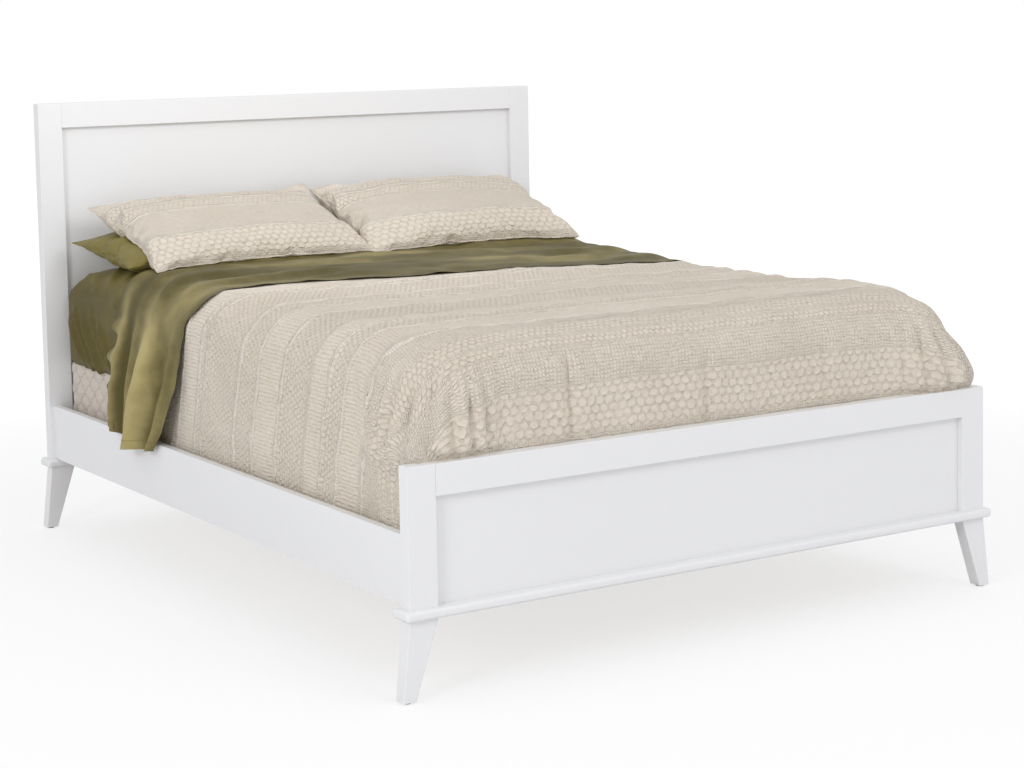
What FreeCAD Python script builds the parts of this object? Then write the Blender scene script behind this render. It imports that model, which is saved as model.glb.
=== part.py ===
import FreeCAD
import Part

import math
import os

import Sketcher
from FreeCAD import Rotation, Vector

# A queen panel bed: headboard and footboard of stiles, top rail and grooved panel, each standing on a
# bullnosed base board and two splayed legs; side rails hooked between them; slats, box spring, mattress
# and bedding. X runs across the bed, Y from foot to head, Z up; the origin is on the floor at the middle.

os.makedirs("parts", exist_ok=True)
doc = FreeCAD.newDocument("panel_bed")
sheet = doc.addObject("Spreadsheet::Sheet", "sizes")

DRIVING_SIZES = (
    # the mattress and what is left free around it
    ("mattress_width", 1524), ("mattress_length", 2032), ("mattress_height", 262),
    ("mattress_corner", 35), ("foot_corner", 120), ("foot_corner_rise", 40), ("shoulder_reach", 110),
    ("shoulder_drop", 90), ("mattress_foot_round", 14),
    ("box_spring_height", 229), ("box_spring_corner", 35), ("box_spring_round", 10),
    ("side_gap", 22), ("end_gap", 12), ("rest_gap", 0.3),
    # posts, top rails and panels of the headboard and footboard
    ("post_width", 70), ("post_thickness", 35), ("headboard_height", 1219), ("footboard_height", 508),
    ("top_rail_height", 70), ("panel_thickness", 12), ("panel_recess", 18), ("groove_depth", 10),
    ("groove_play", 0.25), ("panel_end_play", 0.5), ("tenon_length", 25), ("tenon_shoulder", 8),
    ("edge_break", 1.5),
    # base boards and legs
    ("ground_clearance", 179), ("base_thickness", 22), ("base_projection", 16), ("base_round", 8),
    ("base_corner", 9), ("base_groove_depth", 6), ("leg_foot_width", 32), ("leg_splay", 20),
    ("leg_round", 2), ("glide_radius", 11), ("glide_height", 4), ("glide_round", 1.5),
    ("glide_pin_radius", 2.5), ("glide_pin_length", 16), ("leg_bolt_radius", 4), ("leg_bolt_reach", 45),
    ("leg_dowel_radius", 4), ("leg_dowel_reach", 18), ("leg_dowel_spacing", 40),
    # side rails with their hook plates and the slotted plates in the posts
    ("rail_thickness", 22), ("rail_height", 152), ("rail_inset", 14), ("rail_lift", 1), ("rail_round", 3),
    ("hook_plate_thickness", 3), ("hook_plate_width", 16), ("hook_plate_height", 116),
    ("slot_plate_thickness", 2.5), ("slot_plate_width", 20), ("slot_plate_height", 128),
    ("hook_thickness", 3), ("hook_reach", 12), ("hook_height", 28), ("hook_neck", 18), ("hook_round", 3),
    ("hook_spacing", 46), ("hook_play", 0.3), ("slot_lead", 12),
    ("plate_screw_margin", 9), ("screw_radius", 2), ("screw_head_radius", 3.6), ("screw_head_height", 1.8),
    ("plate_screw_length", 20), ("ledger_screw_length", 38), ("slat_screw_length", 42),
    # ledgers, slats and centre supports
    ("ledger_width", 25), ("ledger_height", 35), ("ledger_rise", 2), ("ledger_end_gap", 30),
    ("slat_width", 90), ("slat_thickness", 19), ("slat_end_play", 3), ("slat_margin", 190),
    ("beam_width", 45), ("beam_end_play", 1), ("beam_screw_length", 46),
    ("centre_leg_width", 40), ("centre_leg_break", 3), ("centre_bolt_radius", 4),
    ("centre_bolt_head_radius", 9), ("centre_bolt_head_height", 4), ("centre_bolt_length", 90),
    ("leveller_foot_radius", 16), ("leveller_foot_height", 8), ("leveller_foot_round", 2),
    ("leveller_stem_radius", 4), ("leveller_stem_length", 34), ("leveller_travel", 14),
    ("insert_wall", 2), ("insert_length", 20), ("insert_flange_radius", 10), ("insert_flange", 1.5),
    ("bore_play", 0.2), ("end_play", 1),
    # sheets and coverlet, which lie on each other over the mattress
    ("cloth_gap", 0.4), ("fitted_sheet_thickness", 1.2), ("flat_sheet_thickness", 1.4),
    ("coverlet_thickness", 4.4), ("coverlet_tuck", 54), ("under_sheet_tuck", 40),
    ("fold_from_head", 376), ("turndown_depth", 535), ("turndown_slant", 60), ("coverlet_set_back", 14),
    ("fold_side_margin", 130),
    ("drape_start_drop", 22), ("drape_clearance", 2.5), ("drape_below_rail", 17), ("fold_swell", 10),
    # pillows and shams
    ("pillow_half_width", 370), ("pillow_half_depth", 185), ("pillow_thickness", 98),
    ("pillow_pull", 17), ("pillow_corner", 12), ("pillow_from_head", 218), ("pillow_offset", 384),
    ("sham_half_width", 352), ("sham_half_depth", 208), ("sham_thickness", 126),
    ("sham_pull", 13), ("sham_corner", 10), ("sham_from_head", 232), ("sham_offset", 368),
    ("sham_seam_height", 88), ("pillow_seam_height", 50), ("pillow_play", 1.2),
    # angles, in degrees
    ("pillow_tilt", 7), ("sham_tilt", 20), ("left_turn", 4), ("right_turn", 0),
)


class Size:
    """A length together with the spreadsheet formula that it comes from."""

    def __init__(self, value, formula):
        self.value = float(value)
        self.formula = formula

    def __float__(self):
        return self.value

    def __add__(self, other):
        return Size(self.value + float(other), f"({self.formula} + {formula(other)})")

    def __radd__(self, other):
        return Size(float(other) + self.value, f"({formula(other)} + {self.formula})")

    def __sub__(self, other):
        return Size(self.value - float(other), f"({self.formula} - {formula(other)})")

    def __rsub__(self, other):
        return Size(float(other) - self.value, f"({formula(other)} - {self.formula})")

    def __mul__(self, other):
        return Size(self.value * float(other), f"({self.formula} * {formula(other)})")

    def __rmul__(self, other):
        return Size(float(other) * self.value, f"({formula(other)} * {self.formula})")

    def __truediv__(self, other):
        return Size(self.value / float(other), f"({self.formula} / {formula(other)})")

    def __neg__(self):
        return Size(-self.value, f"(0 - {self.formula})")


def formula(number):
    return number.formula if isinstance(number, Size) else repr(number)


class Sizes:
    """The driving sizes, written to the sheet and read back as attributes."""

    def __init__(self, rows):
        for row, (alias, number) in enumerate(rows, start=1):
            sheet.set(f"A{row}", alias)
            sheet.set(f"B{row}", str(number))
            sheet.setAlias(f"B{row}", alias)
        doc.recompute()
        for alias, number in rows:
            setattr(self, alias, Size(sheet.get(alias), f"sizes.{alias}"))


s = Sizes(DRIVING_SIZES)

# Sizes that follow from the driving ones

clear_width = s.mattress_width + 2 * s.side_gap
clear_length = s.mattress_length + 2 * s.end_gap
half_width = clear_width / 2 + s.rail_thickness + s.rail_inset
half_length = clear_length / 2 + s.post_thickness
post_inner = half_width - s.post_width
post_middle = half_width - s.post_width / 2
rail_outer = half_width - s.rail_inset
rail_inner = rail_outer - s.rail_thickness
rail_middle = (rail_outer + rail_inner) / 2
base_top = s.ground_clearance + s.base_thickness
rail_bottom = base_top + s.rail_lift
rail_top = rail_bottom + s.rail_height
ledger_bottom = rail_bottom + s.ledger_rise
ledger_top = ledger_bottom + s.ledger_height
slat_top = ledger_top + s.slat_thickness
box_spring_top = slat_top + s.box_spring_height
mattress_top = box_spring_top + s.mattress_height
ledger_inner = rail_inner - s.ledger_width

SIDES = (("left", -1), ("right", 1))
SLAT_COUNT = 5
LEDGER_SCREWS = 4

parts = []


def keep(piece, name):
    """Gives a finished piece the name that its file gets."""
    piece.Label = name
    parts.append(piece)
    return piece


def new_body(name):
    return doc.addObject("PartDesign::Body", f"{name}_body")


def origin_plane(body, role):
    return next(f for f in body.Origin.OriginFeatures if f.Role == role)


def new_sketch(body, name, role, offset):
    """A sketch on one of the body's origin planes, moved along the axis that is square to it."""
    sketch = body.newObject("Sketcher::SketchObject", name)
    sketch.AttachmentSupport = [(origin_plane(body, role), "")]
    sketch.MapMode = "FlatFace"
    shift = -offset if role == "XZ_Plane" else offset
    if isinstance(shift, Size):
        sketch.setExpression("AttachmentOffset.Base.z", shift.formula)
    return sketch


def pin_point(sketch, element, point, place):
    for kind, value in zip(("DistanceX", "DistanceY"), place):
        row = sketch.addConstraint(Sketcher.Constraint(kind, -1, 1, element, point, float(value)))
        if isinstance(value, Size):
            sketch.setExpression(f"Constraints[{row}]", value.formula)


def draw_outline(sketch, points):
    """A closed outline of straight lines, every corner placed by its own sizes."""
    count = len(points)
    for i in range(count):
        start, end = points[i], points[(i + 1) % count]
        line = Part.LineSegment(Vector(*map(float, start), 0), Vector(*map(float, end), 0))
        sketch.addGeometry(line)
    for i in range(count):
        sketch.addConstraint(Sketcher.Constraint("Coincident", i, 2, (i + 1) % count, 1))
        pin_point(sketch, i, 1, points[i])


def draw_circles(sketch, centres, radius):
    for centre in centres:
        circle = Part.Circle(Vector(*map(float, centre), 0), Vector(0, 0, 1), float(radius))
        element = sketch.addGeometry(circle)
        row = sketch.addConstraint(Sketcher.Constraint("Radius", element, float(radius)))
        sketch.setExpression(f"Constraints[{row}]", radius.formula)
        pin_point(sketch, element, 3, centre)


def extrude(body, kind, name, role, low, high, points=(), circles=(), radius=None):
    """A pad or pocket between two levels along the axis that is square to the sketch plane."""
    sketch = new_sketch(body, f"{name}_sketch", role, low)
    if points:
        draw_outline(sketch, points)
    if circles:
        draw_circles(sketch, circles, radius)
    feature = body.newObject(f"PartDesign::{kind}", name)
    feature.Profile = sketch
    feature.setExpression("Length", (high - low).formula)
    feature.Reversed = (kind == "Pad") == (role == "XZ_Plane")
    sketch.Visibility = False
    return feature


def rectangle(x_low, x_high, y_low, y_high):
    return [(x_low, y_low), (x_high, y_low), (x_high, y_high), (x_low, y_high)]


def fillet(body, name, radius, chosen):
    """Rounds the edges of the body's last feature for which chosen(edge) is true."""
    doc.recompute()
    base = body.Tip
    names = [f"Edge{n}" for n, edge in enumerate(base.Shape.Edges, start=1) if chosen(edge)]
    rounding = body.newObject("PartDesign::Fillet", name)
    rounding.Base = (base, names)
    rounding.setExpression("Radius", radius.formula)
    return rounding


def along(edge, axis):
    """True for a straight edge that runs along the given axis."""
    if not isinstance(edge.Curve, Part.Line):
        return False
    return abs(edge.tangentAt(edge.FirstParameter).dot(axis)) > 0.999


def at(value, level):
    return abs(value - float(level)) < 0.01


X_AXIS, Y_AXIS, Z_AXIS = Vector(1, 0, 0), Vector(0, 1, 0), Vector(0, 0, 1)


def plate_screw_heights():
    """Heights of the two screws of a hook plate or slotted plate, near its ends."""
    middle = (rail_bottom + rail_top) / 2
    reach = s.hook_plate_height / 2 - s.plate_screw_margin
    return (middle - reach, middle + reach)


def hook_tops():
    middle = (rail_bottom + rail_top) / 2
    lift = s.hook_height / 2
    return (middle - s.hook_spacing / 2 + lift, middle + s.hook_spacing / 2 + lift)


def leg_dowel_places(side):
    return (side * (post_middle - s.leg_dowel_spacing / 2), side * (post_middle + s.leg_dowel_spacing / 2))


def panel_span(front):
    """Where the panel lies between the front and back of the board that starts at front."""
    start = front + s.panel_recess
    return start, start + s.panel_thickness


def add_stile(name, side, front, height, rail_face, inward):
    """A post with the panel groove, the mortise for the top rail and the seat of the slotted plate."""
    body = new_body(name)
    back = front + s.post_thickness
    outer, inner = side * half_width, side * post_inner
    extrude(body, "Pad", f"{name}_post", "XY_Plane", base_top, height,
            rectangle(inner, outer, front, back))
    fillet(body, f"{name}_edges", s.edge_break,
           lambda edge: along(edge, Z_AXIS) or at(edge.CenterOfMass.z, height))
    panel_front, panel_back = panel_span(front)
    slot = (panel_front - s.groove_play, panel_back + s.groove_play)
    rail_low = height - s.top_rail_height
    groove_floor = side * (post_inner + s.groove_depth)
    extrude(body, "Pocket", f"{name}_groove", "XY_Plane", base_top, rail_low + s.groove_depth,
            rectangle(inner, groove_floor, *slot))
    mortise_floor = side * (post_inner + s.tenon_length + s.end_play)
    extrude(body, "Pocket", f"{name}_mortise", "XY_Plane", rail_low + s.groove_depth,
            height - s.tenon_shoulder, rectangle(inner, mortise_floor, *slot))
    middle = (rail_bottom + rail_top) / 2
    seat = rectangle(side * (rail_middle - s.slot_plate_width / 2),
                     side * (rail_middle + s.slot_plate_width / 2),
                     middle - s.slot_plate_height / 2, middle + s.slot_plate_height / 2)
    low, high = into_post(rail_face, inward, 0, s.slot_plate_thickness)
    extrude(body, "Pocket", f"{name}_plate_seat", "XZ_Plane", low, high, seat)
    tops = hook_tops()
    pocket_half = s.hook_thickness / 2 + s.end_play
    hollow = rectangle(side * (rail_middle - pocket_half), side * (rail_middle + pocket_half),
                       tops[0] - s.hook_height - s.end_play, tops[1] + s.slot_lead + s.end_play)
    low, high = into_post(rail_face, inward, s.slot_plate_thickness, s.hook_reach + s.end_play)
    extrude(body, "Pocket", f"{name}_hook_hollow", "XZ_Plane", low, high, hollow)
    low, high = into_post(rail_face, inward, s.slot_plate_thickness, s.plate_screw_length + s.end_play)
    extrude(body, "Pocket", f"{name}_screw_bores", "XZ_Plane", low, high,
            circles=[(side * rail_middle, z) for z in plate_screw_heights()],
            radius=s.screw_radius + s.bore_play)
    bolt_y = (front + back) / 2
    extrude(body, "Pocket", f"{name}_bolt_bore", "XY_Plane", base_top,
            base_top + s.leg_bolt_reach + s.end_play,
            circles=[(side * post_middle, bolt_y)], radius=s.leg_bolt_radius + s.bore_play)
    extrude(body, "Pocket", f"{name}_dowel_bores", "XY_Plane", base_top,
            base_top + s.leg_dowel_reach + s.end_play,
            circles=[(x, bolt_y) for x in leg_dowel_places(side)],
            radius=s.leg_dowel_radius + s.bore_play)
    return keep(body, name)


def into_post(face, inward, near, far):
    """Levels along Y of a cut that goes from near to far below the post's rail face."""
    first, second = face + inward * near, face + inward * far
    return (first, second) if inward > 0 else (second, first)


def add_top_rail(name, front, height):
    """The rail between the posts, with a tenon at each end and the panel groove along its underside."""
    body = new_body(name)
    low = height - s.top_rail_height
    extrude(body, "Pad", f"{name}_rail", "XZ_Plane", front, front + s.post_thickness,
            rectangle(-post_inner, post_inner, low, height))
    fillet(body, f"{name}_edges", s.edge_break,
           lambda edge: along(edge, X_AXIS) and (at(edge.CenterOfMass.z, height)
                                                 or at(edge.CenterOfMass.y, front)))
    panel_front, panel_back = panel_span(front)
    tenon_end = post_inner + s.tenon_length
    extrude(body, "Pad", f"{name}_tenons", "XZ_Plane", panel_front, panel_back,
            rectangle(-tenon_end, tenon_end, low + s.groove_depth + s.end_play,
                      height - s.tenon_shoulder - s.end_play))
    extrude(body, "Pocket", f"{name}_groove", "XY_Plane", low, low + s.groove_depth,
            rectangle(-post_inner, post_inner, panel_front - s.groove_play, panel_back + s.groove_play))
    return keep(body, name)


def add_panel(name, front, height):
    panel_front = panel_span(front)[0]
    reach = post_inner + s.groove_depth - s.panel_end_play
    low = base_top - s.base_groove_depth
    high = height - s.top_rail_height + s.groove_depth - s.panel_end_play
    panel = doc.addObject("Part::Box", f"{name}_sheet")
    panel.setExpression("Length", (2 * reach).formula)
    panel.setExpression("Width", s.panel_thickness.formula)
    panel.setExpression("Height", (high - low).formula)
    place(panel, x=-reach, y=panel_front, z=low)
    return keep(panel, name)


def add_base(name, front):
    """The base board: rounded on every outer edge, grooved for the panel, bored for bolts and dowels."""
    body = new_body(name)
    back = front + s.post_thickness
    reach = half_width + s.base_projection
    outer_front, outer_back = front - s.base_projection, back + s.base_projection
    extrude(body, "Pad", f"{name}_board", "XY_Plane", s.ground_clearance, base_top,
            rectangle(-reach, reach, outer_front, outer_back))
    fillet(body, f"{name}_corners", s.base_corner, lambda edge: along(edge, Z_AXIS))
    fillet(body, f"{name}_bullnose", s.base_round,
           lambda edge: at(edge.BoundBox.ZLength, 0))
    panel_front, panel_back = panel_span(front)
    groove_end = post_inner + s.groove_depth
    extrude(body, "Pocket", f"{name}_groove", "XY_Plane", base_top - s.base_groove_depth, base_top,
            rectangle(-groove_end, groove_end, panel_front - s.groove_play, panel_back + s.groove_play))
    middle = (front + back) / 2
    extrude(body, "Pocket", f"{name}_bolt_bores", "XY_Plane", s.ground_clearance, base_top,
            circles=[(side * post_middle, middle) for _, side in SIDES],
            radius=s.leg_bolt_radius + s.bore_play)
    extrude(body, "Pocket", f"{name}_dowel_bores", "XY_Plane", s.ground_clearance, base_top,
            circles=[(x, middle) for _, side in SIDES for x in leg_dowel_places(side)],
            radius=s.leg_dowel_radius + s.bore_play)
    deep = s.beam_screw_length - ledger_top + base_top + s.end_play
    extrude(body, "Pocket", f"{name}_beam_bore", "XY_Plane", base_top - deep, base_top,
            circles=[(0, beam_screw_y if float(front) > 0 else -beam_screw_y)],
            radius=s.screw_radius + s.bore_play)
    return keep(body, name)


def foot_middle(side):
    return side * (half_width + s.leg_splay - s.leg_foot_width / 2)


def add_leg(name, side, front):
    """A leg that tapers on its inner edge and splays on its outer one."""
    body = new_body(name)
    back = front + s.post_thickness
    middle = (front + back) / 2
    foot_outer = half_width + s.leg_splay
    extrude(body, "Pad", f"{name}_taper", "XZ_Plane", front, back,
            [(side * post_inner, s.ground_clearance), (side * half_width, s.ground_clearance),
             (side * foot_outer, s.glide_height), (side * (foot_outer - s.leg_foot_width), s.glide_height)])
    fillet(body, f"{name}_edges", s.leg_round,
           lambda edge: edge.BoundBox.ZLength > float(s.ground_clearance) / 2)
    extrude(body, "Pocket", f"{name}_bolt_bore", "XY_Plane",
            s.ground_clearance - s.leg_bolt_reach - s.end_play, s.ground_clearance,
            circles=[(side * post_middle, middle)], radius=s.leg_bolt_radius + s.bore_play)
    extrude(body, "Pocket", f"{name}_dowel_bores", "XY_Plane",
            s.ground_clearance - s.leg_dowel_reach - s.end_play, s.ground_clearance,
            circles=[(x, middle) for x in leg_dowel_places(side)],
            radius=s.leg_dowel_radius + s.bore_play)
    extrude(body, "Pocket", f"{name}_glide_bore", "XY_Plane", s.glide_height,
            s.glide_height + s.glide_pin_length + s.end_play,
            circles=[(foot_middle(side), middle)], radius=s.glide_pin_radius + s.bore_play)
    return keep(body, name)


def turned(body, name, points):
    """A turned piece: its half outline, in radius and height, spun about the body's own Z axis."""
    sketch = new_sketch(body, f"{name}_outline", "XZ_Plane", 0)
    draw_outline(sketch, points)
    spin = body.newObject("PartDesign::Revolution", f"{name}_turning")
    spin.Profile = sketch
    spin.ReferenceAxis = (origin_axis(body, "Z_Axis"), [""])
    spin.Angle = 360
    sketch.Visibility = False
    return spin


def origin_axis(body, role):
    return next(f for f in body.Origin.OriginFeatures if f.Role == role)


def place(thing, **position):
    for axis, value in position.items():
        thing.setExpression(f"Placement.Base.{axis}", value.formula)


def add_glide(name, side, front):
    """The nail-on glide: a low disc with a bevelled rim and a pin that goes up into the leg."""
    body = new_body(name)
    pin_top = s.glide_height + s.glide_pin_length
    rim = s.glide_radius - s.glide_round
    turned(body, name, [(0, 0), (rim, 0), (s.glide_radius, s.glide_round), (s.glide_radius, s.glide_height),
                        (s.glide_pin_radius, s.glide_height), (s.glide_pin_radius, pin_top), (0, pin_top)])
    place(body, x=foot_middle(side), y=front + s.post_thickness / 2)
    return keep(body, name)


def slat_centres():
    span = clear_length - 2 * s.slat_margin
    return [span * (n / (SLAT_COUNT - 1)) - span / 2 for n in range(SLAT_COUNT)]


def ledger_screw_places():
    """Ledger screws sit between the slats, one past each end slat."""
    span = clear_length - 2 * s.ledger_end_gap - 2 * s.slat_width
    return [span * (n / (LEDGER_SCREWS - 1)) - span / 2 for n in range(LEDGER_SCREWS)]


def add_side_rail(name, side):
    """A rail with softened top edges, a seat for a hook plate in each end and bores for its screws."""
    body = new_body(name)
    low, high = sorted((side * rail_inner, side * rail_outer), key=float)
    reach = clear_length / 2
    extrude(body, "Pad", f"{name}_board", "YZ_Plane", low, high,
            rectangle(-reach, reach, rail_bottom, rail_top))
    fillet(body, f"{name}_top_edges", s.rail_round,
           lambda edge: along(edge, Y_AXIS) and at(edge.CenterOfMass.z, rail_top))
    middle = (rail_bottom + rail_top) / 2
    seat = rectangle(side * (rail_middle - s.hook_plate_width / 2),
                     side * (rail_middle + s.hook_plate_width / 2),
                     middle - s.hook_plate_height / 2, middle + s.hook_plate_height / 2)
    screws = [(side * rail_middle, z) for z in plate_screw_heights()]
    for end, toward in (("foot", -1), ("head", 1)):
        near, far = into_post(toward * reach, -toward, 0, s.hook_plate_thickness)
        extrude(body, "Pocket", f"{name}_{end}_seat", "XZ_Plane", near, far, seat)
        near, far = into_post(toward * reach, -toward, s.hook_plate_thickness,
                              s.plate_screw_length + s.end_play)
        extrude(body, "Pocket", f"{name}_{end}_bores", "XZ_Plane", near, far,
                circles=screws, radius=s.screw_radius + s.bore_play)
    deep = s.ledger_screw_length - s.ledger_width + s.end_play
    near, far = sorted((side * rail_inner, side * (rail_inner + deep)), key=float)
    extrude(body, "Pocket", f"{name}_ledger_bores", "YZ_Plane", near, far,
            circles=[(y, (ledger_bottom + ledger_top) / 2) for y in ledger_screw_places()],
            radius=s.screw_radius + s.bore_play)
    return keep(body, name)


def add_hook_plate(name, side, toward):
    """A plate let into the rail's end, with two hooks that drop behind the slotted plate in the post."""
    body = new_body(name)
    face = toward * (clear_length / 2)
    middle = (rail_bottom + rail_top) / 2
    near, far = into_post(face, -toward, 0, s.hook_plate_thickness)
    extrude(body, "Pad", f"{name}_plate", "XZ_Plane", near, far,
            rectangle(side * (rail_middle - s.hook_plate_width / 2),
                      side * (rail_middle + s.hook_plate_width / 2),
                      middle - s.hook_plate_height / 2, middle + s.hook_plate_height / 2))
    behind = s.slot_plate_thickness + s.hook_play
    low, high = sorted((side * rail_middle - s.hook_thickness / 2,
                        side * rail_middle + s.hook_thickness / 2), key=float)
    for number, top in enumerate(hook_tops(), start=1):
        extrude(body, "Pad", f"{name}_hook_{number}", "YZ_Plane", low, high,
                [(face, top), (face + toward * (s.hook_reach - s.hook_round), top),
                 (face + toward * s.hook_reach, top - s.hook_round),
                 (face + toward * s.hook_reach, top - s.hook_height + s.hook_round),
                 (face + toward * (s.hook_reach - s.hook_round), top - s.hook_height),
                 (face + toward * behind, top - s.hook_height),
                 (face + toward * behind, top - s.hook_neck), (face, top - s.hook_neck)])
    screws = [(side * rail_middle, z) for z in plate_screw_heights()]
    extrude(body, "Pocket", f"{name}_holes", "XZ_Plane", near, far,
            circles=screws, radius=s.screw_radius + s.bore_play)
    near, far = into_post(face, -toward, 0, s.screw_head_height + s.bore_play)
    extrude(body, "Pocket", f"{name}_head_seats", "XZ_Plane", near, far,
            circles=screws, radius=s.screw_head_radius + s.bore_play)
    return keep(body, name)


def add_slot_plate(name, side, toward):
    """The plate let into the post, with the two slots that the hooks drop into."""
    body = new_body(name)
    face = toward * (clear_length / 2)
    middle = (rail_bottom + rail_top) / 2
    near, far = into_post(face, toward, 0, s.slot_plate_thickness)
    extrude(body, "Pad", f"{name}_plate", "XZ_Plane", near, far,
            rectangle(side * (rail_middle - s.slot_plate_width / 2),
                      side * (rail_middle + s.slot_plate_width / 2),
                      middle - s.slot_plate_height / 2, middle + s.slot_plate_height / 2))
    slot_half = s.hook_thickness / 2 + s.hook_play
    for number, top in enumerate(hook_tops(), start=1):
        extrude(body, "Pocket", f"{name}_slot_{number}", "XZ_Plane", near, far,
                rectangle(side * (rail_middle - slot_half), side * (rail_middle + slot_half),
                          top - s.hook_neck, top + s.slot_lead))
    screws = [(side * rail_middle, z) for z in plate_screw_heights()]
    extrude(body, "Pocket", f"{name}_holes", "XZ_Plane", near, far,
            circles=screws, radius=s.screw_radius + s.bore_play)
    near, far = into_post(face, toward, 0, s.screw_head_height + s.bore_play)
    extrude(body, "Pocket", f"{name}_head_seats", "XZ_Plane", near, far,
            circles=screws, radius=s.screw_head_radius + s.bore_play)
    return keep(body, name)


def add_ledger(name, side):
    """The strip screwed along the inside of a rail, which carries the slat ends."""
    body = new_body(name)
    low, high = sorted((side * ledger_inner, side * rail_inner), key=float)
    reach = clear_length / 2 - s.ledger_end_gap
    extrude(body, "Pad", f"{name}_strip", "YZ_Plane", low, high,
            rectangle(-reach, reach, ledger_bottom, ledger_top))
    extrude(body, "Pocket", f"{name}_rail_bores", "YZ_Plane", low, high,
            circles=[(y, (ledger_bottom + ledger_top) / 2) for y in ledger_screw_places()],
            radius=s.screw_radius + s.bore_play)
    deep = s.slat_screw_length - s.slat_thickness + s.end_play
    extrude(body, "Pocket", f"{name}_slat_bores", "XY_Plane", ledger_top - deep, ledger_top,
            circles=[(side * slat_screw_x(), y) for y in slat_centres()],
            radius=s.screw_radius + s.bore_play)
    return keep(body, name)


def slat_screw_x():
    """Slat screws stand between the box spring's side and the rail, so their heads stay clear of it."""
    return (s.mattress_width / 2 + rail_inner - s.slat_end_play) / 2 + s.slat_end_play / 2


def add_slat(name, middle):
    body = new_body(name)
    reach = clear_width / 2 - s.slat_end_play
    extrude(body, "Pad", f"{name}_board", "XY_Plane", ledger_top, slat_top,
            rectangle(-reach, reach, middle - s.slat_width / 2, middle + s.slat_width / 2))
    extrude(body, "Pocket", f"{name}_end_bores", "XY_Plane", ledger_top, slat_top,
            circles=[(side * slat_screw_x(), middle) for _, side in SIDES],
            radius=s.screw_radius + s.bore_play)
    return keep(body, name)


beam_reach = clear_length / 2 + s.post_thickness - s.panel_recess - s.panel_thickness - s.beam_end_play
beam_screw_y = (clear_length / 2 - s.base_projection + beam_reach) / 2
bolt_seat = ledger_top - s.centre_bolt_head_height - s.end_play
centre_leg_low = s.leveller_foot_height + s.leveller_travel + s.insert_flange + s.rest_gap
insert_radius = s.leveller_stem_radius + s.bore_play + s.insert_wall


def add_centre_beam(name):
    """The beam down the middle of the bed: its ends lie on the base boards, the slats lie on it."""
    body = new_body(name)
    half = s.beam_width / 2
    extrude(body, "Pad", f"{name}_bar", "XY_Plane", base_top, ledger_top,
            rectangle(-half, half, -beam_reach, beam_reach))
    extrude(body, "Pocket", f"{name}_bolt_bore", "XY_Plane", base_top, ledger_top,
            circles=[(0, 0)], radius=s.centre_bolt_radius + s.bore_play)
    extrude(body, "Pocket", f"{name}_bolt_seat", "XY_Plane", bolt_seat, ledger_top,
            circles=[(0, 0)], radius=s.centre_bolt_head_radius + s.bore_play)
    ends = [(0, y) for y in (-beam_screw_y, beam_screw_y)]
    extrude(body, "Pocket", f"{name}_screw_bores", "XY_Plane", base_top, ledger_top,
            circles=ends, radius=s.screw_radius + s.bore_play)
    return keep(body, name)


def add_centre_leg(name):
    """The square leg under the middle of the beam, with the leveller's bore below."""
    body = new_body(name)
    half = s.centre_leg_width / 2
    middle = [(0, 0)]
    extrude(body, "Pad", f"{name}_post", "XY_Plane", centre_leg_low, base_top,
            rectangle(-half, half, -half, half))
    fillet(body, f"{name}_edges", s.centre_leg_break, lambda edge: along(edge, Z_AXIS))
    extrude(body, "Pocket", f"{name}_insert_bore", "XY_Plane", centre_leg_low,
            centre_leg_low + s.insert_length + s.end_play,
            circles=middle, radius=insert_radius + s.bore_play)
    stem_top = s.leveller_foot_height + s.leveller_stem_length + s.leveller_travel
    extrude(body, "Pocket", f"{name}_stem_bore", "XY_Plane", centre_leg_low, stem_top + s.end_play,
            circles=middle, radius=s.leveller_stem_radius + s.end_play)
    extrude(body, "Pocket", f"{name}_bolt_bore", "XY_Plane",
            bolt_seat - s.centre_bolt_length - s.end_play, base_top,
            circles=middle, radius=s.centre_bolt_radius + s.bore_play)
    return keep(body, name)


def add_leveller(name):
    """The adjustable foot: a bevelled pad on a threaded stem, turned in one piece."""
    body = new_body(name)
    top = s.leveller_foot_height + s.leveller_stem_length
    rim = s.leveller_foot_radius - s.leveller_foot_round
    foot_edge = s.leveller_foot_height - s.leveller_foot_round
    turned(body, name, [(0, 0), (rim, 0), (s.leveller_foot_radius, s.leveller_foot_round),
                        (s.leveller_foot_radius, foot_edge), (rim, s.leveller_foot_height),
                        (s.leveller_stem_radius, s.leveller_foot_height),
                        (s.leveller_stem_radius, top), (0, top)])
    return keep(body, name)


def add_solids(name, shapes):
    """One node that holds several like solids, or one solid made by the functions of this file."""
    piece = doc.addObject("Part::Feature", f"{name}_solids")
    piece.Shape = shapes[0] if len(shapes) == 1 else Part.makeCompound(shapes)
    return keep(piece, name)


def peg(radius, start, direction, length):
    return Part.makeCylinder(float(radius), float(length), Vector(*map(float, start)), direction)


def headed_screw(radius, length, head_radius, head_height, start, direction):
    """A screw whose head sits on start, with its shank along direction."""
    shank = peg(radius, start, direction, length)
    head = peg(head_radius, start, -direction, head_height)
    return shank.fuse(head).removeSplitter()


def plate_screws():
    """Two screws through each hook plate into the rail and each slotted plate into its post."""
    screws = []
    for _, side in SIDES:
        for toward in (-1, 1):
            for z in plate_screw_heights():
                for inward in (-toward, toward):
                    seat = toward * (clear_length / 2) + inward * (s.screw_head_height + s.bore_play)
                    screws.append(headed_screw(
                        s.screw_radius, s.plate_screw_length - s.screw_head_height - s.bore_play,
                        s.screw_head_radius, s.screw_head_height,
                        (side * rail_middle, seat, z), inward * Y_AXIS))
    return screws


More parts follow.
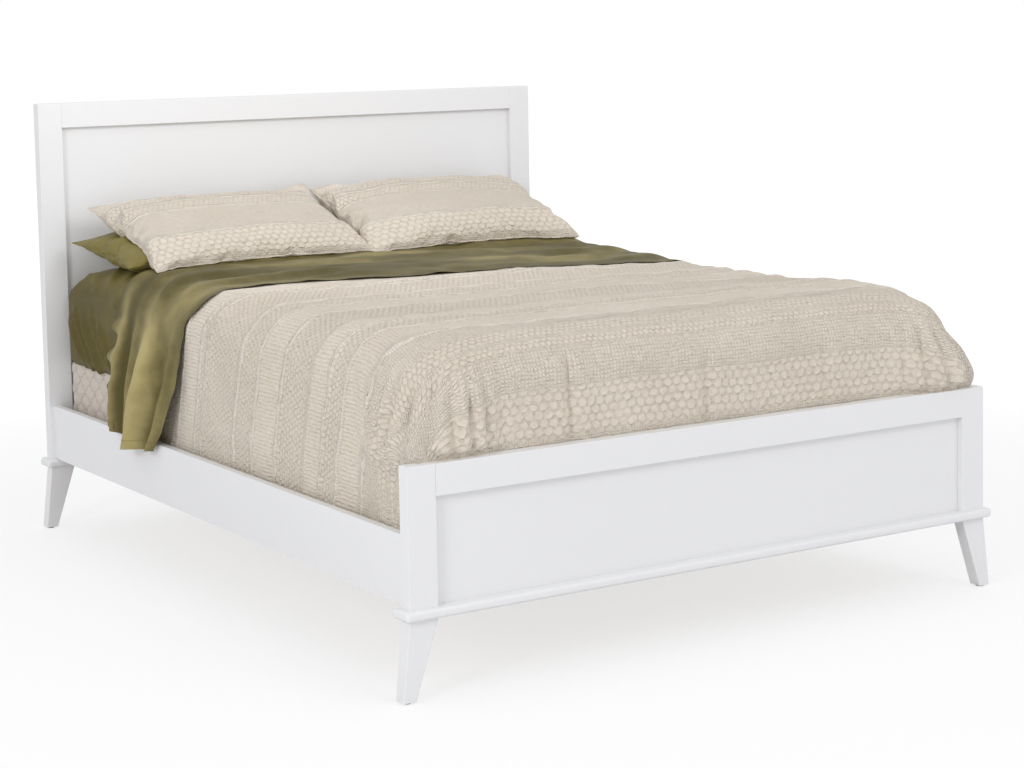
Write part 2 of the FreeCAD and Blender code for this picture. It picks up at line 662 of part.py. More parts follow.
def ledger_screws():
    return [headed_screw(s.screw_radius, s.ledger_screw_length, s.screw_head_radius, s.screw_head_height,
                         (side * ledger_inner, y, (ledger_bottom + ledger_top) / 2), side * X_AXIS)
            for _, side in SIDES for y in ledger_screw_places()]


def slat_screws():
    return [headed_screw(s.screw_radius, s.slat_screw_length, s.screw_head_radius, s.screw_head_height,
                         (side * slat_screw_x(), y, slat_top), -Z_AXIS)
            for _, side in SIDES for y in slat_centres()]


def beam_screws():
    return [headed_screw(s.screw_radius, s.beam_screw_length, s.screw_head_radius, s.screw_head_height,
                         (0, y, ledger_top), -Z_AXIS) for y in (-beam_screw_y, beam_screw_y)]


def centre_bolt():
    return [headed_screw(s.centre_bolt_radius, s.centre_bolt_length, s.centre_bolt_head_radius,
                         s.centre_bolt_head_height, (0, 0, bolt_seat), -Z_AXIS)]


def leveller_insert():
    """The flanged sleeve in the centre leg, which the leveller screws into."""
    foot = (0, 0, centre_leg_low)
    flange = peg(s.insert_flange_radius, foot, -Z_AXIS, s.insert_flange)
    sleeve = peg(insert_radius, foot, Z_AXIS, s.insert_length).fuse(flange)
    hole = peg(s.leveller_stem_radius + s.bore_play, (0, 0, centre_leg_low - s.insert_flange), Z_AXIS,
               s.insert_flange + s.insert_length)
    return [sleeve.cut(hole)]


def leg_pegs(radius, reach, places):
    """Straight pegs that run from a leg up through the base board into the post."""
    pegs = []
    length = 2 * reach + s.base_thickness
    for front in (-half_length, half_length - s.post_thickness):
        for _, side in SIDES:
            for x in places(side):
                start = (x, front + s.post_thickness / 2, s.ground_clearance - reach)
                pegs.append(peg(radius, start, Z_AXIS, length))
    return pegs


# Headboard, footboard, base boards, legs and glides

BOARDS = (("footboard", -half_length, s.footboard_height, -(clear_length / 2), -1),
          ("headboard", half_length - s.post_thickness, s.headboard_height, clear_length / 2, 1))

for board, front, height, rail_face, inward in BOARDS:
    for hand, side in SIDES:
        add_stile(f"{board}_stile_{hand}", side, front, height, rail_face, inward)
        add_leg(f"{board}_leg_{hand}", side, front)
        add_glide(f"{board}_glide_{hand}", side, front)
        add_slot_plate(f"{board}_slot_plate_{hand}", side, inward)
        add_hook_plate(f"{board}_hook_plate_{hand}", side, inward)
    add_top_rail(f"{board}_top_rail", front, height)
    add_panel(f"{board}_panel", front, height)
    add_base(f"{board}_base", front)

add_solids("leg_bolts", leg_pegs(s.leg_bolt_radius, s.leg_bolt_reach, lambda side: (side * post_middle,)))
add_solids("leg_dowels", leg_pegs(s.leg_dowel_radius, s.leg_dowel_reach, leg_dowel_places))

# Side rails, ledgers, slats and centre supports

for hand, side in SIDES:
    add_side_rail(f"side_rail_{hand}", side)
    add_ledger(f"slat_ledger_{hand}", side)
for number, middle in enumerate(slat_centres(), start=1):
    add_slat(f"slat_{number}", middle)
add_centre_beam("centre_beam")
add_centre_leg("centre_leg")
add_leveller("leveller")
add_solids("plate_screws", plate_screws())
add_solids("ledger_screws", ledger_screws())
add_solids("slat_screws", slat_screws())
add_solids("beam_screws", beam_screws())
add_solids("centre_bolt", centre_bolt())
add_solids("leveller_insert", leveller_insert())

# Box spring: a quilted box with rounded corners

box_spring = new_body("box_spring")
extrude(box_spring, "Pad", "box_spring_block", "XY_Plane", slat_top, box_spring_top,
        rectangle(-(s.mattress_width / 2), s.mattress_width / 2,
                  -(s.mattress_length / 2), s.mattress_length / 2))
fillet(box_spring, "box_spring_corners", s.box_spring_corner, lambda edge: along(edge, Z_AXIS))
fillet(box_spring, "box_spring_edges", s.box_spring_round, lambda edge: at(edge.BoundBox.ZLength, 0))
keep(box_spring, "box_spring")

# Mattress and the cloths that lie over it, each one step further out than the last

SHOULDER_STEPS = 5


def corner_arc(centre_x, centre_y, radius, from_angle):
    angles = [math.radians(from_angle + turn) for turn in (0, 45, 90)]
    return Part.Arc(*[Vector(centre_x + radius * math.cos(a), centre_y + radius * math.sin(a), 0)
                      for a in angles]).toShape()


def ring(half_x, half_y, head_radius, foot_radius, z):
    """A rectangle at height z whose head corners and foot corners have their own roundings."""
    head_x, head_y = half_x - head_radius, half_y - head_radius
    foot_x, foot_y = half_x - foot_radius, half_y - foot_radius
    corners = [corner_arc(head_x, head_y, head_radius, 0), corner_arc(-head_x, head_y, head_radius, 90),
               corner_arc(-foot_x, -foot_y, foot_radius, 180),
               corner_arc(foot_x, -foot_y, foot_radius, 270)]
    edges = []
    for arc, following in zip(corners, corners[1:] + corners[:1]):
        edges += [arc, Part.LineSegment(arc.lastVertex().Point, following.firstVertex().Point).toShape()]
    wire = Part.Wire(edges)
    wire.translate(Vector(0, 0, z))
    return wire


def shoulder(offset):
    """Inset and height of the rounded top edge, from the side to the flat top, grown by offset."""
    reach, drop = float(s.shoulder_reach) + offset, float(s.shoulder_drop) + offset
    top = float(mattress_top) + offset
    angles = [math.pi / 2 * n / SHOULDER_STEPS for n in range(SHOULDER_STEPS + 1)]
    return [(reach * (1 - math.cos(a)), top - drop * (1 - math.sin(a))) for a in angles]


def mattress_form(offset, low, foot_round=0):
    """The mattress, grown by offset on every side and on top, and standing on height low."""
    half_x = float(s.mattress_width) / 2 + offset
    half_y = float(s.mattress_length) / 2 + offset
    corner, foot_corner = float(s.mattress_corner) + offset, float(s.foot_corner) + offset
    rings = [ring(half_x - foot_round, half_y - foot_round, corner, corner, low)]
    if foot_round:
        rings.append(ring(half_x, half_y, corner, corner, low + foot_round))
    rings.append(ring(half_x, half_y, corner, corner, float(box_spring_top + s.foot_corner_rise)))
    rings += [ring(half_x - inset, half_y - inset, corner + inset / 2, foot_corner + inset / 2, z)
              for inset, z in shoulder(offset)]
    return Part.makeLoft(rings, True, True)


def skin(inner, outer, low):
    """The layer between two offsets, open below."""
    return mattress_form(outer, low).cut(mattress_form(inner, low - (outer - inner)))


def slab(x_reach, y_low, y_high, z_low, z_high):
    corner = Vector(-float(x_reach), float(y_low), float(z_low))
    return Part.makeBox(2 * float(x_reach), float(y_high - y_low), float(z_high - z_low), corner)


gap = float(s.cloth_gap)
fitted_outer = gap + float(s.fitted_sheet_thickness)
under_inner = fitted_outer + gap
under_outer = under_inner + float(s.flat_sheet_thickness)
coverlet_inner = under_outer + gap
coverlet_outer = coverlet_inner + float(s.coverlet_thickness)
band_inner = coverlet_outer + gap
band_outer = band_inner + float(s.flat_sheet_thickness)

fold_y = s.mattress_length / 2 - s.fold_from_head
coverlet_head_y = fold_y - s.coverlet_set_back
far_out = half_width + s.base_projection
foot_end = -half_length

add_solids("mattress", [mattress_form(0, float(box_spring_top), float(s.mattress_foot_round))])
add_solids("fitted_sheet", [skin(gap, fitted_outer, float(box_spring_top) + gap)])

coverlet = skin(coverlet_inner, coverlet_outer, float(rail_top - s.coverlet_tuck))
coverlet = coverlet.common(slab(far_out, foot_end, coverlet_head_y, 0, s.headboard_height))
add_solids("coverlet", coverlet.Solids)

# Hem height and outward swell of the hanging part of the turned-down sheet, as shares: where along the
# turndown each station lies, how far down its hem reaches, and how much of the fold swell it takes

DRAPE_SHARES = (
    (0.00, 0.02, 0.0), (0.06, 0.50, 0.2), (0.14, 0.76, 0.6), (0.23, 0.98, 0.1), (0.32, 1.00, 1.0),
    (0.48, 1.00, 0.0), (0.60, 1.00, 0.9), (0.70, 0.97, 0.1), (0.80, 0.91, 0.7), (0.87, 0.76, 0.1),
    (0.92, 0.46, 0.3), (1.00, 0.05, 0.0),
)


def band_side(offset, hem_share, swell_share):
    """Half of the turned-down sheet's cross-section: hem, slanting fall, rounded shoulder, top."""
    side = float(s.mattress_width) / 2 + offset
    start_z = shoulder(offset)[0][1] - float(s.drape_start_drop)
    hem_z = float(rail_top - s.drape_below_rail)
    thickness = offset - band_inner
    hem_x = float(rail_outer + s.drape_clearance) + thickness + swell_share * float(s.fold_swell)
    hem = (side + (hem_x - side) * hem_share, start_z + (hem_z - start_z) * hem_share)
    return [hem, (side, start_z)] + [(side - inset, z) for inset, z in shoulder(offset)]


def band_station(share, hem_share, swell_share):
    """A cross-section of the turndown, which reaches further down the bed on the right than the left."""
    inner = band_side(band_inner, hem_share, swell_share)
    outer = band_side(band_outer, hem_share, swell_share)
    path = outer + [(-x, z) for x, z in reversed(outer)] + [(-x, z) for x, z in inner] + inner[::-1]
    slant = float(s.turndown_slant / (s.mattress_width / 2))
    points = [Vector(x, float(fold_y) - (1 - share) * (float(s.turndown_depth) + slant * x), z)
              for x, z in path]
    return Part.makePolygon(points + points[:1])


band = Part.makeLoft([band_station(*row) for row in DRAPE_SHARES], True, True)
under = skin(under_inner, under_outer, float(box_spring_top - s.under_sheet_tuck))
under = under.common(slab(far_out, foot_end, fold_y, 0, s.headboard_height))
fold_reach = s.mattress_width / 2 - s.fold_side_margin
fold = slab(fold_reach, fold_y - s.flat_sheet_thickness, fold_y + s.flat_sheet_thickness,
            mattress_top + under_inner, mattress_top + band_outer)
fold_gap = slab(fold_reach, fold_y - s.flat_sheet_thickness, fold_y,
                mattress_top + under_outer, mattress_top + band_inner)
flat_sheet = under.fuse([band, fold.cut(fold_gap)])
add_solids("flat_sheet", flat_sheet.Solids)

# Pillows and shams: stacked outlines whose sides draw in between the corners of the seam

# For each outline: how far it lies in from the seam, as a share of the half depth, and how high, as a
# share of the thickness below or above the seam
PILLOW_SHARES = ((0.62, -0.46), (0.32, -0.40), (0.08, -0.20), (0.0, 0.0), (0.06, 0.20), (0.24, 0.43),
                 (0.52, 0.53), (0.82, 0.55))
CORNER_LIMIT_SHARE = 0.8


def bowed_ring(half_x, half_y, corner, pull_share, z):
    """A four-sided outline with rounded corners; its sides bow in by a share of their own length."""
    pull_x, pull_y = pull_share * (half_y - corner), pull_share * (half_x - corner)
    root = math.sqrt(0.5)
    edges = []
    for sx, sy in ((1, 1), (-1, 1), (-1, -1), (1, -1)):
        on_x = Vector(sx * half_x, sy * (half_y - corner), z)
        on_y = Vector(sx * (half_x - corner), sy * half_y, z)
        middle = Vector(sx * (half_x - corner + corner * root), sy * (half_y - corner + corner * root), z)
        first, last = (on_x, on_y) if sx == sy else (on_y, on_x)
        edges.append(Part.Arc(first, middle, last).toShape())
    bows = (Vector(0, half_y - pull_y, z), Vector(pull_x - half_x, 0, z),
            Vector(0, pull_y - half_y, z), Vector(half_x - pull_x, 0, z))
    sides = []
    for arc, bow, following in zip(edges, bows, edges[1:] + edges[:1]):
        sides += [arc, Part.Arc(arc.lastVertex().Point, bow, following.firstVertex().Point).toShape()]
    return Part.Wire(sides)


def cushion(half_x, half_y, thickness, pull, corner, grown=0):
    """A filled cushion with its seam at height 0, and its stack of outlines grown if asked."""
    rings = []
    pull_share = pull / (half_x - corner)
    for inset_share, height_share in PILLOW_SHARES:
        inset = half_y * inset_share
        turn = min(corner + inset / 2, (half_y - inset) * CORNER_LIMIT_SHARE)
        rings.append(bowed_ring(half_x - inset + grown, half_y - inset + grown, turn,
                                pull_share, height_share * (thickness + 2 * grown)))
    return Part.makeLoft(rings, True, True)


def lay(shape, x, y, z, tilt):
    """Tilts a shape up towards the head and moves it to its place."""
    moved = shape.copy()
    moved.Placement = FreeCAD.Placement(Vector(x, y, z), Rotation(X_AXIS, tilt)).multiply(moved.Placement)
    return moved


def largest(shape):
    return max(shape.Solids, key=lambda solid: solid.Volume)


head_face = clear_length / 2
on_fitted = mattress_top + fitted_outer + s.rest_gap
on_band = mattress_top + band_outer + s.rest_gap
pillow_y = float(head_face - s.pillow_from_head)
pillow_z = float(on_fitted + s.pillow_seam_height)
pillow_tilt = float(s.pillow_tilt)
play = float(s.pillow_play)
pillow_sizes = [float(size) for size in (s.pillow_half_width, s.pillow_half_depth, s.pillow_thickness,
                                         s.pillow_pull, s.pillow_corner)]
sham_sizes = [float(size) for size in (s.sham_half_width, s.sham_half_depth, s.sham_thickness,
                                       s.sham_pull, s.sham_corner)]


def above(level):
    return slab(far_out, -half_length, half_length, level, s.headboard_height)


def turned_about(shape, x, y, angle):
    moved = shape.copy()
    moved.rotate(Vector(x, y, 0), Z_AXIS, float(angle))
    return moved


over_band = slab(far_out, -half_length, fold_y + s.flat_sheet_thickness + play, 0, on_band)

# Each sham leans on its pillow: it is cut to the pillow's top, and below the pillow's seam it keeps
# clear of everything under the pillow, so that it lifts straight up

for (hand, side), angle in zip(SIDES, (s.left_turn, s.right_turn)):
    pillow_x = float(side * s.pillow_offset)
    pillow_place = (pillow_x, pillow_y, pillow_z, pillow_tilt)
    pillow = largest(lay(cushion(*pillow_sizes), *pillow_place).common(above(on_fitted)))
    room = lay(cushion(*pillow_sizes, grown=play), *pillow_place)
    outline = bowed_ring(pillow_sizes[0] + play, pillow_sizes[1] + play, pillow_sizes[4],
                         pillow_sizes[3] / (pillow_sizes[0] - pillow_sizes[4]), 0)
    under = lay(Part.Face(outline), *pillow_place).extrude(Vector(0, 0, -float(s.pillow_thickness)))
    sham = lay(cushion(*sham_sizes), float(side * s.sham_offset), float(head_face - s.sham_from_head),
               float(on_band + s.sham_seam_height), float(s.sham_tilt))
    sham = largest(largest(sham.common(above(on_band))).cut(room.fuse(under)))
    pillow = turned_about(pillow, pillow_x, pillow_y, angle)
    add_solids(f"pillow_{hand}", [largest(pillow.cut(over_band))])
    add_solids(f"sham_{hand}", [turned_about(sham, pillow_x, pillow_y, angle)])

# Checks and files

doc.recompute()
for thing in doc.Objects:
    if "Invalid" in thing.State or "Error" in thing.State:
        raise RuntimeError(f"{thing.Label} did not compute: {thing.State}")
    if thing.TypeId == "PartDesign::Pocket":
        if not thing.Shape.Volume < thing.BaseFeature.Shape.Volume:
            raise RuntimeError(f"{thing.Label} cuts nothing")
for piece in parts:
    if piece.Shape.isNull() or not piece.Shape.isValid() or not piece.Shape.Solids:
        raise RuntimeError(f"{piece.Label} has no sound solid")
    piece.Shape.exportStep(f"parts/{piece.Label}.step")
print(len(parts), "parts")
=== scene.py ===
import math

import bmesh
import bpy
import numpy as np
from mathutils import Matrix, Vector, noise
from mathutils.bvhtree import BVHTree


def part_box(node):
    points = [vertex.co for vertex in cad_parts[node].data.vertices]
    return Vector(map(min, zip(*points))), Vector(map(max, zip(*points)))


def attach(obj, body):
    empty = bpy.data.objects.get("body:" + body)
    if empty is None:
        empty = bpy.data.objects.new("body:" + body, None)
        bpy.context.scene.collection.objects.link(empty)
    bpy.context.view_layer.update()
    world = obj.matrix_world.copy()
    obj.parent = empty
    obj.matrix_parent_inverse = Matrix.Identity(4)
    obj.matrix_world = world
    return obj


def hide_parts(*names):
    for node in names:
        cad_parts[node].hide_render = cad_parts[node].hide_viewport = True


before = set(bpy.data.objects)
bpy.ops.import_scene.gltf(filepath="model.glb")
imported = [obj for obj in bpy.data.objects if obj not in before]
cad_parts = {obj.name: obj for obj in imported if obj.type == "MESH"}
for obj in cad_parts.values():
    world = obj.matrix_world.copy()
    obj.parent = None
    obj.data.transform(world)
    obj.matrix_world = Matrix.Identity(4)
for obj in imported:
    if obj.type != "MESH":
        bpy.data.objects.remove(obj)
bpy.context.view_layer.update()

# Headboard, footboard, base boards, legs and side rails. Hardwood boards, glued up with grooves and
# tenons and sprayed with a white satin lacquer; the rails hook into the posts. The solids have the
# right shape, so they only get the paint: a faint orange peel, dust in the gloss, a cool white.


class Tree:
    """A node tree. node() adds one node: its type, its settings first, then what its sockets hold."""

    def __init__(self, tree):
        self.tree = tree

    def node(self, kind, settings=None, inputs=None):
        node = self.tree.nodes.new(kind)
        for name, value in (settings or {}).items():
            if name == "stops":
                stops = node.color_ramp.elements
                while len(stops) < len(value):
                    stops.new(1.0)
                for stop, (place, colour) in zip(stops, value):
                    stop.position, stop.color = place, colour
            else:
                setattr(node, name, value)
        for name, value in (inputs or {}).items():
            self.feed(node.inputs[name], value)
        return node

    def feed(self, socket, value):
        value = getattr(value, "socket", value)
        if isinstance(value, bpy.types.NodeSocket):
            self.tree.links.new(value, socket)
        else:
            socket.default_value = value


class Level:
    """A number that varies over a surface. Working with levels adds the Math nodes that it needs."""

    def __init__(self, finish, socket):
        self.finish, self.socket = finish, socket

    def __add__(self, other):
        return self.finish.maths("ADD", self, other)

    def __radd__(self, other):
        return self.finish.maths("ADD", other, self)

    def __sub__(self, other):
        return self.finish.maths("SUBTRACT", self, other)

    def __rsub__(self, other):
        return self.finish.maths("SUBTRACT", other, self)

    def __mul__(self, other):
        return self.finish.maths("MULTIPLY", self, other)

    def __rmul__(self, other):
        return self.finish.maths("MULTIPLY", other, self)

    def __truediv__(self, other):
        return self.finish.maths("DIVIDE", self, other)

    def __rtruediv__(self, other):
        return self.finish.maths("DIVIDE", other, self)

    def rising(self, low, high):
        """0 below low, 1 above high, and smooth between them."""
        node = self.finish.node("ShaderNodeMapRange", {"interpolation_type": "SMOOTHSTEP"},
                                {"Value": self, "From Min": low, "From Max": high})
        return Level(self.finish, node.outputs["Result"])


class Finish(Tree):
    """The procedural finish of one kind of surface."""

    def __init__(self, name, constants=None):
        self.material = bpy.data.materials.new(name)
        self.material.use_nodes = True
        super().__init__(self.material.node_tree)
        self.surface = self.tree.nodes["Principled BSDF"]
        for socket, value in (constants or {}).items():
            self.surface.inputs[socket].default_value = value

    def maths(self, operation, *values):
        node = self.node("ShaderNodeMath", {"operation": operation}, dict(enumerate(values)))
        return Level(self, node.outputs[0])

    def where(self):
        return self.node("ShaderNodeTexCoord").outputs["Object"]

    def stretched(self, place, scale):
        return self.node("ShaderNodeMapping", None, {"Vector": place, "Scale": scale}).outputs[0]

    def apart(self, place):
        node = self.node("ShaderNodeSeparateXYZ", None, {"Vector": place})
        return [Level(self, socket) for socket in node.outputs]

    def cloudy(self, place, scale, detail=2.0):
        node = self.node("ShaderNodeTexNoise", None, {"Vector": place, "Scale": scale, "Detail": detail})
        return Level(self, node.outputs["Fac"])

    def tint(self, first, second, level):
        node = self.node("ShaderNodeMix", {"data_type": "RGBA"}, {0: level, 6: first, 7: second})
        return node.outputs[2]

    def relief(self, height, depth, under=None):
        """A bump of the given depth in metres, on top of another one if there is one."""
        inputs = {"Height": height, "Distance": depth, "Strength": 1.0}
        if under is not None:
            inputs["Normal"] = under
        return self.node("ShaderNodeBump", None, inputs).outputs[0]

    def dress(self, **parts):
        for name, value in parts.items():
            self.feed(self.surface.inputs[name.replace("_", " ")], value)
        return self.material


def linear(code):
    """A colour as the renderer wants it, from the six figures that a paint chart gives."""
    shades = [int(code[i:i + 2], 16) / 255 for i in (0, 2, 4)]
    return [c / 12.92 if c <= 0.04045 else ((c + 0.055) / 1.055) ** 2.4 for c in shades] + [1.0]


def coat_nodes(material, chosen):
    """Gives the solids whose names are chosen this material in every slot."""
    for name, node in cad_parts.items():
        if chosen(name):
            node.data.materials.clear()
            node.data.materials.append(material)


PEEL_DEPTH, RIPPLE_DEPTH = 0.00006, 0.00012
PAINT_COOL, PAINT_PLAIN = "EEEEEF", "F1F1F2"


def satin_paint():
    """Sprayed lacquer: fine orange peel over slow ripples, and places that hands have rubbed."""
    finish = Finish("white_satin_paint", {"Coat Roughness": 0.25, "Specular IOR Level": 0.42})
    place = finish.where()
    broad = finish.cloudy(place, 0.9, 1.0)
    peel = finish.cloudy(place, 420.0)
    ripple = finish.cloudy(place, 28.0)
    rubbed = finish.cloudy(place, 9.0, 6.0).rising(0.52, 0.74)
    return finish.dress(
        Base_Color=finish.tint(linear(PAINT_COOL), linear(PAINT_PLAIN), broad),
        Roughness=0.34 + 0.03 * rubbed + 0.03 * peel,
        Coat_Weight=0.2 - 0.04 * rubbed,
        Normal=finish.relief(peel, PEEL_DEPTH, finish.relief(ripple, RIPPLE_DEPTH)))


PAINTED = ("stile", "top_rail", "panel", "base", "leg_left", "leg_right", "side_rail")
coat_nodes(satin_paint(), lambda name: any(word in name for word in PAINTED) and name != "centre_leg")

# Slats, ledgers, centre beam, centre leg and dowels. Planed softwood, left bare, with the grain along
# each piece; the dowels are beech. Slats and ledgers are screwed, the dowels glued.


GRAIN_STRETCH = 0.06
FIBRE_FINENESS = 60
RING_BEND = 9.0
GRAIN_DEPTH = 0.00025


def bare_wood(name, grain, early, late, ring_frequency):
    """Planed wood with its grain along one axis: 0, 1 or 2 for X, Y or Z."""
    finish = Finish(name, {"Specular IOR Level": 0.3})
    scale = [1.0, 1.0, 1.0]
    scale[grain] = GRAIN_STRETCH
    place = finish.stretched(finish.where(), scale)
    bend = finish.cloudy(place, 7.0)
    across = finish.apart(place)[(grain + 1) % 3]
    rings = finish.maths("SINE", across * ring_frequency + RING_BEND * bend).rising(-0.9, 1.0)
    fine = finish.stretched(finish.where(), [size * FIBRE_FINENESS for size in scale])
    fibre = finish.cloudy(fine, 12.0, 3.0)
    return finish.dress(
        Base_Color=finish.tint(linear(early), linear(late), rings * 0.7 + fibre * 0.3),
        Roughness=0.62 + 0.14 * fibre,
        Normal=finish.relief(fibre + 0.5 * rings, GRAIN_DEPTH))


# Grain axis, early and late colour, ring frequency in radians to the metre, and the pieces' names
WOODS = (
    ("slat_pine_across", 0, "E3CDA4", "C59B66", 420.0, [f"slat_{n}" for n in range(1, 6)]),
    ("ledger_pine_along", 1, "E1C99E", "C09560", 420.0,
     ["slat_ledger_left", "slat_ledger_right", "centre_beam"]),
    ("leg_pine_upright", 2, "DFC79C", "BE935F", 460.0, ["centre_leg"]),
    ("dowel_beech_upright", 2, "D9B48A", "B98B5F", 800.0, ["leg_dowels"]),
)
for name, grain, early, late, frequency, pieces in WOODS:
    coat_nodes(bare_wood(name, grain, early, late, frequency), lambda node: node in pieces)

# Hook plates, slotted plates, screws, leg bolts and the leveller with its sleeve. Pressed and turned
# steel with a zinc coat: faint crystals, brushed streaks and a little white bloom.


ZINC_DEPTH = 0.00004


def zinc_plate():
    """Zinc on steel: small crystals under a thin white bloom."""
    finish = Finish("zinc_plated_steel", {"Metallic": 1.0})
    place = finish.where()
    crystals = finish.node("ShaderNodeTexVoronoi", None, {"Vector": place, "Scale": 320.0})
    grain = Level(finish, crystals.outputs["Distance"])
    bloom = finish.cloudy(place, 60.0, 4.0).rising(0.5, 0.72)
    return finish.dress(
        Base_Color=finish.tint(linear("B4B7BC"), linear("8E9299"), grain * 0.6 + bloom * 0.4),
        Roughness=0.3 + 0.2 * bloom + 0.1 * grain,
        Normal=finish.relief(grain, ZINC_DEPTH))


coat_nodes(zinc_plate(), lambda name: "plate" in name or "screws" in name or name in (
    "leg_bolts", "centre_bolt", "leveller", "leveller_insert"))

# Glides under the legs. Black moulded plastic discs, each nailed up into its leg, so that the wood
# stands clear of the floor and the bed can be slid.


GLIDE_DEPTH = 0.00008


def glide_plastic():
    """Moulded black plastic with a fine grain, scuffed where it slid over floors."""
    finish = Finish("black_glide_plastic", {"Specular IOR Level": 0.4})
    place = finish.where()
    speckle = finish.cloudy(place, 900.0)
    scuffed = finish.cloudy(place, 90.0, 4.0).rising(0.48, 0.7)
    return finish.dress(
        Base_Color=finish.tint(linear("262628"), linear("4A4A4B"), scuffed * 0.6),
        Roughness=0.5 + 0.25 * scuffed,
        Normal=finish.relief(speckle, GLIDE_DEPTH))


coat_nodes(glide_plastic(), lambda name: "glide" in name)

# Box spring. A wooden box of springs in a cover of quilted ticking, sewn in diamonds round its side,
# with a taped edge above and below and a thin cloth under it. It lies loose on the slats.

MATTRESS_LOW, MATTRESS_HIGH = [Vector(corner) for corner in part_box("mattress")]
HALF_WIDTH, HALF_LENGTH = MATTRESS_HIGH.x, MATTRESS_HIGH.y
CORNER_FROM, CORNER_TO = 0.70, 0.44


def round_corner(half_x, half_y, radius, share):
    """Place and outward direction, a share of the way from the long side round to the end."""
    along, beyond = half_y - radius - CORNER_FROM, half_x - radius - CORNER_TO
    arc = math.pi / 2 * radius
    way = share * (along + arc + beyond)
    if way <= along:
        return (half_x, CORNER_FROM + way), (1.0, 0.0)
    if way >= along + arc:
        return (half_x - radius - (way - along - arc), half_y), (0.0, 1.0)
    turn = (way - along) / radius
    side, end = math.cos(turn), math.sin(turn)
    return (half_x - radius + radius * side, half_y - radius + radius * end), (side, end)


class Wrap:
    """The columns of a cloth that hangs round the bed: down the left side, round the foot, up the right
    side and, where it is closed, round the head. head is where an open cloth ends. rows pairs the
    columns that lie opposite each other."""

    def __init__(self, step, corner_steps, head=None):
        self.closed = head is None
        top = CORNER_FROM if self.closed else head
        count = round((top + CORNER_FROM) / step)
        heights = [top - (top + CORNER_FROM) * n / count for n in range(count)]
        heights = heights[1:] if self.closed else heights
        self.across = round(2 * CORNER_TO / step)
        middles = [2 * CORNER_TO * n / self.across - CORNER_TO for n in range(1, self.across)]
        turns = [n / corner_steps for n in range(corner_steps + 1)]
        left = [("side", -1, y) for y in heights] + [("corner", -1, -1, share) for share in turns]
        right = [("side", 1, y) for y in heights] + [("corner", 1, -1, share) for share in turns]
        foot = [("end", -1, x) for x in middles]
        head_end = [("end", 1, x) for x in middles]
        self.columns = left + foot + right[::-1]
        if self.closed:
            head_left = [("corner", -1, 1, share) for share in turns[::-1]]
            head_right = [("corner", 1, 1, share) for share in turns[::-1]]
            self.columns += head_right[::-1] + head_end[::-1] + head_left
            left, right = head_left + left, head_right + right
        number = {column: n for n, column in enumerate(self.columns)}
        self.rows = [(number[a], number[b]) for a, b in zip(left, right)]
        self.foot_row = [self.rows[-1][0]] + [number[c] for c in foot] + [self.rows[-1][1]]
        if self.closed:
            self.head_row = [self.rows[0][0]] + [number[c] for c in head_end] + [self.rows[0][1]]

    def spot(self, number, half_x, half_y, head_radius, foot_radius):
        """A column's place on an outline of this size, and the direction that is outward there."""
        kind, sign, *rest = self.columns[number]
        if kind == "side":
            return (sign * half_x, rest[0]), (float(sign), 0.0)
        if kind == "end":
            return (rest[0], sign * half_y), (0.0, float(sign))
        end, share = rest
        radius = foot_radius if end < 0 else head_radius
        (x, y), (out_x, out_y) = round_corner(half_x, half_y, radius, share)
        return (sign * x, end * y), (sign * out_x, end * out_y)

    def outline(self, half_x, half_y, head_radius, foot_radius, z):
        """The places of all columns at height z."""
        total = len(self.columns)
        spots = [self.spot(n, half_x, half_y, head_radius, foot_radius)[0] for n in range(total)]
        return [Vector((x, y, z)) for x, y in spots]


def skinned(build, grid, flip=False):
    """Faces between the rows of a grid of points, turned round if flipped."""
    for first, second in zip(grid, grid[1:]):
        for k in range(len(first) - 1):
            corners = (first[k], second[k], second[k + 1], first[k + 1])
            build.faces.new(corners[::-1] if flip else corners)


def mapped(build, flat):
    """Smooth faces, with each point's place in the flat cloth as their UV map."""
    weave = build.loops.layers.uv.new("cloth")
    for face in build.faces:
        face.smooth = True
        for loop in face.loops:
            loop[weave].uv = flat[loop.vert]


